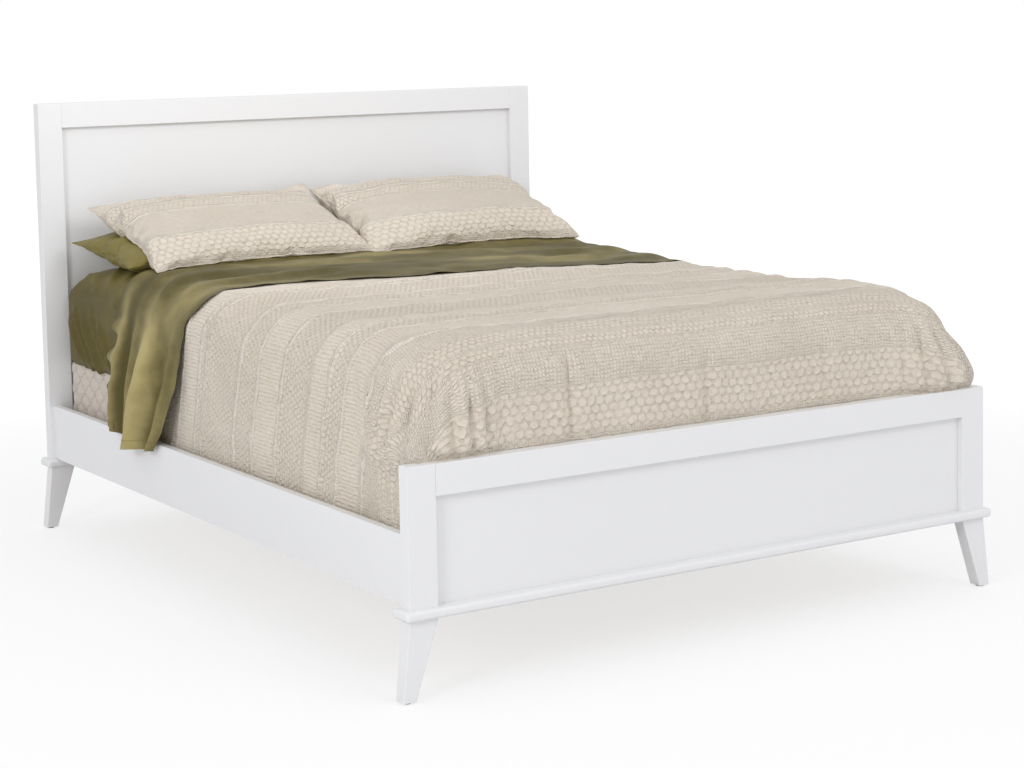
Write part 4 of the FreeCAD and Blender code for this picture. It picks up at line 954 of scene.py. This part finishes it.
# Edges of the turned-down part, as pairs. Over the top: place across, place along. Down each side:
# way out and down from the flat top, place along.
FOOT_EDGE_TOP = ((-0.652, 0.150), (-0.50, 0.185), (-0.37, 0.160), (-0.22, 0.105), (0.0, 0.085),
                 (0.28, 0.085), (0.47, 0.050), (0.652, 0.015))
FOOT_EDGE_LEFT = ((0.0, 0.150), (0.05, 0.118), (0.10, 0.122), (0.14, 0.158), (0.20, 0.166), (0.26, 0.178),
                  (0.34, 0.197), (0.41, 0.233), (0.48, 0.276))
FOOT_EDGE_RIGHT = ((0.0, 0.015), (0.10, 0.020), (0.20, 0.060), (0.35, 0.130), (0.48, 0.200))
HEAD_EDGE_LEFT = ((0.0, 0.640), (0.06, 0.618), (0.142, 0.575), (0.197, 0.598), (0.244, 0.606),
                  (0.317, 0.600), (0.367, 0.594), (0.418, 0.574), (0.455, 0.548), (0.48, 0.540))
HEAD_EDGE_RIGHT = ((0.0, 0.640), (0.10, 0.626), (0.20, 0.612), (0.33, 0.596), (0.48, 0.560))
# Hem: share of the band from its foot edge to its fold, and how far down the cloth it lies
HEM_WAY = ((0.0, 0.478), (0.12, 0.481), (0.43, 0.484), (0.68, 0.481), (0.80, 0.464), (0.92, 0.457),
           (1.0, 0.450))
LEAN, LEAN_CURVE = 0.044, 1.15
BAND_DEPTH = 0.53
EDGE_WAVE, EDGE_PITCH = 0.012, 0.055
# Folds of the hanging part: share across the band at the shoulder and at the hem, width, height. On
# the right side they lie the other way round.
RIGHT_FOLDS_FROM = 1.03
FALL_FOLDS = ((0.47, 0.41, 0.11, 0.046), (0.15, 0.11, 0.045, 0.013), (0.27, 0.23, 0.030, -0.006),
              (0.70, 0.66, 0.045, 0.014), (0.79, 0.775, 0.030, -0.008), (0.89, 0.91, 0.05, 0.022))
# The least distance from the mattress, and the fold height that gets the full painted highlight
LEAST_OUT, BRIGHTEST_FOLD_HEIGHT = 0.0105, 0.042
TOP_PUFF, RIPPLE_RISE, PLEAT_RISE, RUFFLE_RISE = 0.013, 0.0060, 0.0120, 0.017
RIPPLE_PITCH, PLEAT_PITCH, RUFFLE_PITCH = 0.075, 0.060, 0.085
FALL_START, FALL_FULL = 0.10, 0.34
EDGE_TUCK, SIDE_EASE, SMALL_RISE, SMALL_PITCH = 0.001, 0.004, 0.0018, 0.06
READ_APART = 0.012


def along_pairs(pairs, value):
    """Smooth reading between pairs: eased steps would kink, so three close readings are averaged."""
    places, sizes = zip(*pairs)
    return float(np.mean(np.interp([value - READ_APART, value, value + READ_APART], places, sizes)))


def turned_y(share, across, sign, way):
    """Place along the bed: share runs from the foot edge, 0, to the fold, 1."""
    if way <= 0:
        low, high = along_pairs(FOOT_EDGE_TOP, across), FOLD_LINE
    elif sign < 0:
        low, high = along_pairs(FOOT_EDGE_LEFT, way), along_pairs(HEAD_EDGE_LEFT, way)
    else:
        low, high = along_pairs(FOOT_EDGE_RIGHT, way), along_pairs(HEAD_EDGE_RIGHT, way)
    low += EDGE_WAVE * wave(across, way, 0.0, EDGE_PITCH, 6.0)
    return low + (high - low) * share


def turned_point(share, across, sign, way, end, out):
    """A point of the turned-down sheet, out being its distance from the mattress along the normal."""
    y = turned_y(share, across, sign, way)
    if way <= 0:
        return Vector((across, y, MATTRESS_HIGH.z + out))
    angle = math.pi / 2 * (1 - min(way / SHOULDER_WAY, 1.0))
    out_x, out_z = math.cos(angle), math.sin(angle)
    x = TOP_HALF + SHOULDER_REACH * out_x + out * out_x
    z = FALL_FROM + SHOULDER_DROP * out_z + out * out_z
    if way > SHOULDER_WAY:
        fall = (way - SHOULDER_WAY) / (end - SHOULDER_WAY)
        x += LEAN * fall ** LEAN_CURVE
        z = FALL_FROM - (way - SHOULDER_WAY)
    return Vector((sign * x, y, z))


def fold_height(share, sign, drop):
    """Height of the soft folds in the hanging part, drop running from its shoulder, 0, to its hem, 1."""
    folds = 0.0
    for high, low, width, height in FALL_FOLDS:
        middle = high + (low - high) * drop
        middle = middle if sign < 0 else RIGHT_FOLDS_FROM - middle
        folds += height * math.exp(-((share - middle) / width) ** 2)
    return folds


def turned_out(share, across, sign, way, end):
    """Distance of the turned-down sheet from the mattress: its puffs and folds."""
    y = turned_y(share, across, sign, way)
    side = smooth(way, 0.02, 0.16)
    top = 1 - side
    band = share * BAND_DEPTH
    out = TURN_OFFSET + SIDE_EASE * side
    out += TOP_PUFF * smooth(share, 0.05, 0.45) * top * (1 - 0.5 * smooth(across, 0.2, 0.6))
    out += RIPPLE_RISE * wave(across * 0.9 + way, band, 0.0, RIPPLE_PITCH, 2.0) * (1 - 0.6 * side)
    pleats = wave((across + sign * way) * 0.16, band - 0.10 * across, 0.0, PLEAT_PITCH, 9.0)
    out += PLEAT_RISE * pleats * smooth(share, 0.0, 0.12) * top
    drop = min(max((way - FALL_START) / (end - FALL_START), 0.0), 1.0)
    out += fold_height(share, sign, drop) * smooth(way, FALL_START, FALL_FULL)
    ruffle = math.sin(way * 2 * math.pi / RUFFLE_PITCH + 0.6) * smooth(share, 0.88, 1.0)
    out += RUFFLE_RISE * ruffle * smooth(way, 0.14, 0.2) * (1 - smooth(way, 0.32, 0.40))
    out -= EDGE_TUCK * (1 - smooth(share, 0.0, 0.05)) * top
    out += SMALL_RISE * wave(y * 1.2, way, across, SMALL_PITCH, 4.0)
    return max(out, LEAST_OUT)


def turned_columns(step, side_steps):
    """Columns over the bed from hem to hem: the side, the place across and the share of the way down."""
    tops = round(2 * TOP_HALF / step)
    columns = [(-1, TOP_HALF, n / side_steps) for n in range(side_steps, 0, -1)]
    columns += [(0, 2 * TOP_HALF * n / tops - TOP_HALF, 0.0) for n in range(tops + 1)]
    return columns + [(1, TOP_HALF, n / side_steps) for n in range(1, side_steps + 1)]


BAND_ROWS, FOLD_TURNS, TUCK_ROWS = 64, (30, 60, 90, 120, 150), 9
FOLD_LEAST, FOLD_REACH, TUCK_STEP = 0.003, 0.009, 0.010
BAND_FROM, ROW_STEP = FOLD_LINE - 0.535, 0.0084
SIDE_START, UNDER_SPREAD = 0.2, 0.10
# The darkest painted shade on the band, and the pitch of the wave that paints its light and shade
DARKEST_PAINTED_SHADE, RIDGE_PITCH = -0.35, 0.09


def turned_column(at, sign, share_down):
    """One column of the turned-down sheet: the band from its foot edge to the fold, round the fold, and
    a short way back under it. Also gives the way down its side."""
    column = []
    for n in range(BAND_ROWS + 1):
        share = n / BAND_ROWS
        end = along_pairs(HEM_WAY, share)
        way = share_down * end
        column.append(turned_point(share, at, sign, way, end, turned_out(share, at, sign, way, end)))
    fold = column[-1]
    spread = UNDER_SPREAD * max(way - SIDE_START, 0.0)
    under = turned_point(1.0, at, sign, way, end, UNDER_OFFSET + spread)
    middle = (fold + under) / 2
    reach = Vector((0, min(max((fold - under).length / 2, FOLD_LEAST), FOLD_REACH), 0))
    for turn in FOLD_TURNS:
        side = (fold - middle) * math.cos(math.radians(turn))
        column.append(middle + side + reach * math.sin(math.radians(turn)))
    step = TUCK_STEP if way < SIDE_START else TUCK_STEP / 2
    return column + [under - Vector((0, step * back, 0)) for back in range(TUCK_ROWS)], way


def crest(share, at, sign, share_down):
    """How much painted light a place of the band gets: painted highlight, most on the crests of its
    folds, and painted shade where a slow wave dips.
    """
    drop = max(share_down - 0.2, 0.0) / 0.8
    shown = fold_height(share, sign, drop) / BRIGHTEST_FOLD_HEIGHT if sign else 0.0
    ridge = wave(0.0, BAND_DEPTH * share, 0.16 * (at + sign * share_down), RIDGE_PITCH, 8.0)
    return min(max(shown * smooth(share_down, 0.12, 0.5) + 0.6 * ridge, DARKEST_PAINTED_SHADE), 1.0)


def turned_sheet():
    """The part that shows: one skin over the bed from hem to hem, folded under at its head side."""
    build = bmesh.new()
    painted_light_of = build.verts.layers.float.new("crest")
    places = {}
    grid = []
    for sign, across, share_down in turned_columns(step=0.011, side_steps=60):
        at = across if sign == 0 else sign * TOP_HALF
        column, way = turned_column(at, sign, share_down)
        grid.append([build.verts.new(point) for point in column])
        for n, point in enumerate(grid[-1]):
            # Each point of the band carries its painted light and shade, which the sateen's colour reads
            if n <= BAND_ROWS:
                point[painted_light_of] = crest(n / BAND_ROWS, at, sign, share_down)
            places[point] = (at + sign * way, BAND_FROM + ROW_STEP * n)
    skinned(build, grid)
    mapped(build, places)
    build.normal_update()
    return finished("turned_down_part", build)


turned = settled(turned_sheet())
UNDER_DROP, UNDER_HEAD = 0.038, FOLD_LINE - 0.075
under_levels = bed_levels(UNDER_OFFSET, MATTRESS_LOW.z - UNDER_DROP, shoulder_steps=8, side_step=0.03)
under_wrap = Wrap(step=0.03, corner_steps=18, head=UNDER_HEAD)
under = settled(wrapped("flat_sheet_cloth", under_wrap, under_levels, plain))


def joined(pieces):
    """One object out of several meshes, the first one's."""
    build = bmesh.new()
    for piece in pieces:
        build.from_mesh(piece.data)
    build.to_mesh(pieces[0].data)
    build.free()
    for piece in pieces[1:]:
        bpy.data.objects.remove(piece)
    return pieces[0]


TWIST_DEPTH = 0.0001


def thread(name, dark, light):
    """Twisted sewing thread."""
    finish = Finish(name, {"Specular IOR Level": 0.3})
    twist = finish.cloudy(finish.where(), 1500.0, 1.0)
    return finish.dress(
        Base_Color=finish.tint(linear(dark), linear(light), twist),
        Roughness=0.55 + 0.15 * twist,
        Normal=finish.relief(twist, TWIST_DEPTH))


HEM_DEPTH, HEM_POINTS, STITCH_LIFT = 0.024, 60, 0.0006


def hem_row(sign):
    """The seam of the side hem, a hem's depth above the edge of the hanging part."""
    row = []
    for n in range(HEM_POINTS + 1):
        share = 0.01 + 0.97 * n / HEM_POINTS
        end = along_pairs(HEM_WAY, share)
        out = turned_out(share, sign * TOP_HALF, sign, end - HEM_DEPTH, end) + STITCH_LIFT
        row.append(turned_point(share, sign * TOP_HALF, sign, end - HEM_DEPTH, end, out))
    return row


OLIVE_THREAD = thread("olive_thread", "6E6335", "8C7F4C")
STITCH_SIZES = {"Radius": 0.0005, "Step": 0.0046, "Thread": 0.0032}
flat_sheet = joined([under, turned])
# The turned-down sheet's copy of the olive sateen: its light colour is far paler, for the painted
# highlights on its fold crests
flat_sheet.data.materials.append(sateen("olive_sateen_turned", "564D22", "BCAD76"))
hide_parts("flat_sheet")
hem_rows = [(hem_row(-1), False), (hem_row(1), False)]
hem_stitches = lined("flat_sheet_hem_stitches", hem_rows, STITCHES, OLIVE_THREAD, STITCH_SIZES)
for piece in (flat_sheet, hem_stitches):
    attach(piece, "mattress_body")

# Sleeping pillows. Two olive sateen cases over soft fillings, open at the outer end with a deep hem.
# They lie flat on the fitted sheet behind the turned-down sheet.

HEAD_FACE = 1.028
CASE_COLUMNS, CASE_ROWS = 96, 56
CASE_SPOTS = {}
CASE_FULLNESS, END_PULL = 0.45, 1.3
FILL_FRAMES, FILL_PRESSURE, UNFILLED_SHARE = 20, 3.0, 0.35
# Pitches of a cushion's wrinkles: puckers at the seam, dents, fine dents, pulls at corners, the rim
SEAM_PITCH, DENT_PITCH, FINE_DENT_PITCH, PULL_PITCH, RIM_PITCH = 0.036, 0.16, 0.07, 0.032, 0.045


def case(half_x, half_y, thickness, pull):
    """Two sheets sewn together at their rim, in their own frame, with the flat cloth as UV map."""
    build = bmesh.new()
    spots = {}
    flat = {}
    for face_side in (1, -1):
        for i in range(CASE_COLUMNS + 1):
            for k in range(CASE_ROWS + 1):
                s, t = 2 * i / CASE_COLUMNS - 1, 2 * k / CASE_ROWS - 1
                if face_side < 0 and (i in (0, CASE_COLUMNS) or k in (0, CASE_ROWS)):
                    spots[face_side, i, k] = spots[1, i, k]
                    continue
                x = half_x * s - pull * s * abs(s) * (1 - t * t)
                y = half_y * t - pull * END_PULL * t * abs(t) * (1 - s * s)
                full = ((1 - s * s) * (1 - t * t)) ** CASE_FULLNESS
                point = build.verts.new((x, y, face_side * thickness / 2 * full))
                spots[face_side, i, k] = point
                flat[point] = (half_x * s, half_y * t)
    for face_side in (1, -1):
        grid = [[spots[face_side, i, k] for k in range(CASE_ROWS + 1)] for i in range(CASE_COLUMNS + 1)]
        skinned(build, grid, flip=face_side < 0)
    mapped(build, flat)
    build.verts.index_update()
    CASE_SPOTS.update({spot: point.index for spot, point in spots.items()})
    return finished("empty_case", build)


def stuffed(half_x, half_y, thickness, pull, volume):
    """The corners of a filled case: cloth simulation blows a thin one up until it holds volume."""
    piece = case(half_x, half_y, thickness * UNFILLED_SHARE, 0.0)
    cloth = piece.modifiers.new("cloth", "CLOTH")
    ways = {"quality": 4, "mass": 0.15, "tension_stiffness": 10, "compression_stiffness": 10,
            "bending_stiffness": 0.08, "air_damping": 3, "use_pressure": True,
            "uniform_pressure_force": FILL_PRESSURE, "use_pressure_volume": True,
            "target_volume": volume}
    for way, value in ways.items():
        setattr(cloth.settings, way, value)
    cloth.settings.effector_weights.gravity = 0
    cloth.collision_settings.use_collision = False
    cloth.point_cache.frame_start, cloth.point_cache.frame_end = 1, FILL_FRAMES
    for step in range(1, FILL_FRAMES + 1):
        bpy.context.scene.frame_set(step)
    seen = piece.evaluated_get(bpy.context.evaluated_depsgraph_get())
    places = np.array([point.co for point in seen.data.vertices])
    places -= (places.max(axis=0) + places.min(axis=0)) / 2
    reach = np.abs(places).max(axis=0)
    places *= np.array([half_x, half_y, thickness / 2]) / reach
    bpy.context.scene.frame_set(1)
    bpy.data.objects.remove(piece)
    return places


def wrinkled(places, half_x, half_y, depth, seed):
    """Puckers that run in from the seam and a few soft dents, laid over the filled cushion."""
    moved = []
    for x, y, z in places:
        s, t = abs(x) / half_x, abs(y) / half_y
        edge = max(s, t)
        along = y if s > t else x
        inward = (1 - edge) * (half_x if s > t else half_y)
        pucker = wave(along, inward * 0.22, 0.0, SEAM_PITCH, seed) * smooth(edge, 0.50, 0.86)
        pucker *= 1.25 if s > t else 0.8
        dent = wave(x, y, z, DENT_PITCH, seed + 5) + 0.5 * wave(x, y * 2, z, FINE_DENT_PITCH, seed)
        corner = smooth(s, 0.6, 1.0) * smooth(t, 0.5, 1.0)
        pull = wave(x - y if x * y > 0 else x + y, edge * 0.1, 0.0, PULL_PITCH, seed)
        rise = depth * (pucker + 0.9 * dent + 1.4 * corner * pull)
        moved.append((x, y, z + rise * (1 if z > 0 else -1) * smooth(1.0 - edge, 0.0, 0.06)
                      + 0.5 * depth * wave(along, 0.0, 0.0, RIM_PITCH, seed) * smooth(edge, 0.9, 1.0)))
    return moved


ABOVE_BED = 1.6


def laid(name, places, turned, lie, ground, gap, shape=(1, 0.0, 0.0, 0.0, 0.0)):
    """The finished cushion on what lies below it. turned swaps its ends, so that a pair isn't alike.
    shape says which end meets the other cushion, how far its back corner and its middle stand out, how
    far the back edge rises and how far the middle of the other end stands out."""
    inner, ear, belly, brow, outer_belly = shape
    piece = case(1.0, 1.0, 1.0, 0.0)
    piece.name = piece.data.name = name
    for point, place in zip(piece.data.vertices, places):
        point.co = Vector((-place[0], -place[1], place[2])) if turned else Vector(place)
    half_x, half_y = [max(abs(place[axis]) for place in places) for axis in (0, 1)]
    sign = -1 if turned else 1
    for point in piece.data.vertices:
        along, across = inner * point.co.x / half_x, point.co.y / half_y
        point.co.z += ear * smooth(along, 0.62, 1.0) * smooth(across, 0.40, 1.0)
        point.co.z += brow * max(1 - along * along, 0.0) ** 0.5 * smooth(across, 0.20, 1.0)
        fuller = belly * smooth(along, 0.55, 1.0) - outer_belly * smooth(-along, 0.55, 1.0)
        point.co.x += inner * fuller * max(1 - across * across, 0.0)
    for corner in piece.data.uv_layers["cloth"].data:
        corner.uv = (corner.uv[0] * half_x * sign, corner.uv[1] * half_y * sign)
    finer = piece.modifiers.new("finer", "SUBSURF")
    finer.levels = finer.render_levels = 1
    seen = piece.evaluated_get(bpy.context.evaluated_depsgraph_get())
    piece.data = bpy.data.meshes.new_from_object(seen)
    piece.modifiers.clear()
    for face in piece.data.polygons:
        face.use_smooth = True
    piece.data.transform(lie)
    for point in piece.data.vertices:
        hit = ground.ray_cast(Vector((point.co.x, point.co.y, ABOVE_BED)), Vector((0, 0, -1)))[0]
        if hit and point.co.z < hit.z + gap:
            point.co.z = hit.z + gap
    return piece


def surface_of(pieces):
    """Something to lay cushions on: the faces of these pieces together."""
    build = bmesh.new()
    for piece in pieces:
        build.from_mesh(piece.data)
    tree = BVHTree.FromBMesh(build)
    build.free()
    return tree


def rim_line(piece):
    """The sewn rim of a cushion, all the way round."""
    last_i, last_k = CASE_COLUMNS, CASE_ROWS
    rim = [(i, 0) for i in range(last_i)] + [(last_i, k) for k in range(last_k)]
    rim += [(i, last_k) for i in range(last_i, 0, -1)] + [(0, k) for k in range(last_k, 0, -1)]
    return [piece.data.vertices[CASE_SPOTS[1, i, k]].co.copy() for i, k in rim]


def hem_line(piece, column):
    """A line round a case at one of its columns, over the top and back underneath."""
    ring = [(1, column, k) for k in range(CASE_ROWS)]
    ring += [(-1, column, k) for k in range(CASE_ROWS, 0, -1)]
    return [piece.data.vertices[CASE_SPOTS[spot]].co.copy() for spot in ring]


def placed(centre, tilt, turn, pivot):
    """How a cushion lies: tilted up at its back, moved to its centre, turned about an upright pivot."""
    lie = Matrix.Translation(centre) @ Matrix.Rotation(math.radians(tilt), 4, "X")
    turned_round = Matrix.Rotation(math.radians(turn), 4, "Z")
    return Matrix.Translation(pivot) @ turned_round @ Matrix.Translation(-pivot) @ lie


# A paler copy of the olive sateen, painted light: the pillows are the sheets' cloth, painted brighter to
# stand in for more light on them
PILLOW_OLIVE_PAINTED_LIGHTER = sateen("olive_sateen_pillow", "786E3A", "ADA066")
PILLOW_HALF, PILLOW_THICK, PILLOW_VOLUME = (0.368, 0.184), 0.098, 0.0090
PILLOW_WRINKLE, PILLOW_GAP = 0.0050, 0.0012
# Side, centre across, turn in degrees and the seed of its wrinkles
PILLOW_TURNS = (("left", -0.384, 4.0, 21.0), ("right", 0.362, 0.0, 33.0))
PILLOW_CENTRE_Y, PILLOW_CENTRE_Z, PILLOW_TILT = HEAD_FACE - 0.218, 0.8045, 7.0
HEM_COLUMN = 13
pillow_form = stuffed(*PILLOW_HALF, PILLOW_THICK, pull=0.018, volume=PILLOW_VOLUME)
bed_top = surface_of([fitted, flat_sheet, coverlet])
pillows = {}
for hand, centre_x, turn, seed in PILLOW_TURNS:
    centre = Vector((centre_x, PILLOW_CENTRE_Y, PILLOW_CENTRE_Z))
    lie = placed(centre, PILLOW_TILT, turn, centre)
    form = wrinkled(pillow_form, *PILLOW_HALF, PILLOW_WRINKLE, seed)
    pillow = laid(f"pillow_{hand}_case", form, centre_x > 0, lie, bed_top, PILLOW_GAP)
    pillow.data.materials.append(PILLOW_OLIVE_PAINTED_LIGHTER)
    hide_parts(f"pillow_{hand}")
    seam = lined(f"pillow_{hand}_seam", [(rim_line(pillow), True)], PIPING, PILLOW_OLIVE_PAINTED_LIGHTER,
                 {"Radius": 0.0014, "Step": 0.008})
    hem = lined(f"pillow_{hand}_hem_stitches", [(hem_line(pillow, HEM_COLUMN), True)], STITCHES,
                OLIVE_THREAD, STITCH_SIZES)
    for piece in (pillow, seam, hem):
        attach(piece, f"pillow_{hand}_body")
    pillows[hand] = pillow

# Shams. Two cases of the coverlet's cloth, its bands along their length, over soft fillings. Each
# leans on its sleeping pillow with its front edge on the turned-down sheet; its corners stand out.

SHAM_HALF, SHAM_THICK, SHAM_VOLUME = (0.356, 0.224), 0.132, 0.0135
SHAM_CENTRE_Y, SHAM_CENTRE_Z, SHAM_TILT = HEAD_FACE - 0.246, 0.8463, 20.0
SHAM_CENTRE_X, SHAM_PIVOT_X = {"left": -0.352, "right": 0.356}, 0.384
SHAM_WRINKLE, SHAM_GAP, SHAM_SEED = 0.0064, 0.0015, 50
# Inner end, ear, belly, brow and outer belly, as laid() takes them
SHAM_SHAPES = {"left": (1, 0.030, 0.020, 0.003, 0.0), "right": (-1, 0.014, 0.024, 0.018, 0.026)}
SHAM_BANDS = (("wide_comb", -0.202, -0.100), ("comb", 0.048, 0.086), ("comb", 0.108, 0.136),
              ("ladder", 0.150, 0.192))
SHAM_CORDS = (-0.096, 0.042, 0.097, 0.143)
SHAM_CREAM = matelasse("cream_matelasse_sham", flat_places, SHAM_BANDS, SHAM_CORDS)
sham_form = stuffed(*SHAM_HALF, SHAM_THICK, pull=0.014, volume=SHAM_VOLUME)
for hand, side, turn, seed in PILLOW_TURNS:
    centre = Vector((SHAM_CENTRE_X[hand], SHAM_CENTRE_Y, SHAM_CENTRE_Z))
    lie = placed(centre, SHAM_TILT, turn, Vector((side * SHAM_PIVOT_X, PILLOW_CENTRE_Y, 0.0)))
    ground = surface_of([fitted, flat_sheet, coverlet, pillows[hand]])
    form = wrinkled(sham_form, *SHAM_HALF, SHAM_WRINKLE, seed + SHAM_SEED)
    sham = laid(f"sham_{hand}_case", form, side > 0, lie, ground, SHAM_GAP, SHAM_SHAPES[hand])
    sham.data.materials.append(SHAM_CREAM)
    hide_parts(f"sham_{hand}")
    seam = lined(f"sham_{hand}_seam", [(rim_line(sham), True)], PIPING, SHAM_CREAM,
                 {"Radius": 0.0017, "Step": 0.008})
    for piece in (sham, seam):
        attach(piece, f"sham_{hand}_body")

# The plain pale floor, soft studio light and the camera at the photograph's place.

FLOOR_HALF = 14.0
FLOOR_GLOW, NEAR_GLOW = 1.08, 0.66


def pale_floor():
    """A diffuse floor that takes the bed's shadow and, for the camera, fades to white away from it."""
    finish = Finish("studio_floor")
    tree = finish.tree
    seen = finish.node("ShaderNodeLightPath").outputs
    diffuse = finish.node("ShaderNodeBsdfDiffuse", None, {"Color": (0.86, 0.86, 0.87, 1.0)}).outputs[0]
    white = finish.node("ShaderNodeEmission", None,
                        {"Color": (1.0, 1.0, 1.0, 1.0), "Strength": FLOOR_GLOW}).outputs[0]
    x, y = finish.apart(finish.where())[:2]
    far = finish.maths("SQRT", x * x + y * y).rising(1.6, 4.6)
    share = Level(finish, seen["Is Camera Ray"]) * (NEAR_GLOW + (1 - NEAR_GLOW) * far)
    mixed = finish.node("ShaderNodeMixShader", None, {0: share, 1: diffuse, 2: white}).outputs[0]
    tree.links.new(mixed, tree.nodes["Material Output"].inputs["Surface"])
    return finish.material


build = bmesh.new()
bmesh.ops.create_grid(build, x_segments=2, y_segments=2, size=FLOOR_HALF)
floor = finished("studio_floor", build)
floor.data.materials.append(pale_floor())

world = bpy.data.worlds.new("studio_air")
bpy.context.scene.world = world
world.use_nodes = True
air = Tree(world.node_tree)
path = air.node("ShaderNodeLightPath").outputs
lit, shown = [air.node("ShaderNodeBackground", None, {"Color": colour, "Strength": strength}).outputs[0]
              for colour, strength in (((0.98, 0.985, 1.0, 1.0), 0.74), ((1.0, 1.0, 1.0, 1.0), 1.0))]
pick = air.node("ShaderNodeMixShader", None, {0: path["Is Camera Ray"], 1: lit, 2: shown}).outputs[0]
air.feed(world.node_tree.nodes["World Output"].inputs["Surface"], pick)


def lamp(name, place, towards, size, power, colour):
    """A round soft lamp, with its size in metres and its power in watts."""
    light = bpy.data.lights.new(name, "AREA")
    light.shape, light.size, light.energy, light.color = "DISK", size, power, colour
    holder = bpy.data.objects.new(name, light)
    holder.location = place
    holder.rotation_euler = (Vector(towards) - Vector(place)).to_track_quat("-Z", "Y").to_euler()
    bpy.context.scene.collection.objects.link(holder)


lamp("key_from_front", (1.8, -6.2, 4.4), (0.0, 0.0, 0.5), 3.0, 52.0, (1.0, 0.99, 0.975))
lamp("fill_from_left", (-5.6, -3.4, 3.0), (0.0, 0.0, 0.4), 1.6, 84.0, (0.985, 0.99, 1.0))
lamp("top_soft", (0.2, -1.4, 5.0), (0.0, 0.1, 0.4), 3.8, 12.0, (1.0, 1.0, 1.0))
lamp("headboard_soft", (-0.3, -0.5, 1.85), (-0.25, 1.05, 2.05), 1.2, 7.0, (1.0, 1.0, 1.0))

# The camera, fitted to the photograph: focal length and picture centre in its pixels, angles, place
PICTURE_WIDTH, PICTURE_HEIGHT = 1024, 768
FOCAL_PIXELS = 2273.529
MIDDLE_ACROSS, MIDDLE_DOWN = 570.0, 235.0
YAW, PITCH, ROLL = [math.radians(angle) for angle in (33.286, 5.554, -1.000)]
CAMERA_PLACE = Vector((-3.09825, -5.17216, 1.44693))
SENSOR = 36.0

ahead = Vector((math.sin(YAW) * math.cos(PITCH), math.cos(YAW) * math.cos(PITCH), -math.sin(PITCH)))
right = Vector((math.cos(YAW), -math.sin(YAW), 0.0))
upward = right.cross(ahead)
rolled_right = right * math.cos(ROLL) + upward * math.sin(ROLL)
rolled_up = upward * math.cos(ROLL) - right * math.sin(ROLL)
lens = bpy.data.cameras.new("photo_camera")
lens.sensor_width = SENSOR
lens.lens = SENSOR * FOCAL_PIXELS / PICTURE_WIDTH
lens.shift_x = (PICTURE_WIDTH / 2 - MIDDLE_ACROSS) / PICTURE_WIDTH
lens.shift_y = (MIDDLE_DOWN - PICTURE_HEIGHT / 2) / PICTURE_WIDTH
lens.clip_end = 60.0
camera = bpy.data.objects.new("photo_camera", lens)
camera.matrix_world = Matrix.Translation(CAMERA_PLACE) @ Matrix(
    (rolled_right, rolled_up, -ahead)).transposed().to_4x4()
bpy.context.scene.collection.objects.link(camera)
bpy.context.scene.camera = camera
bpy.context.scene.view_settings.view_transform = "Standard"
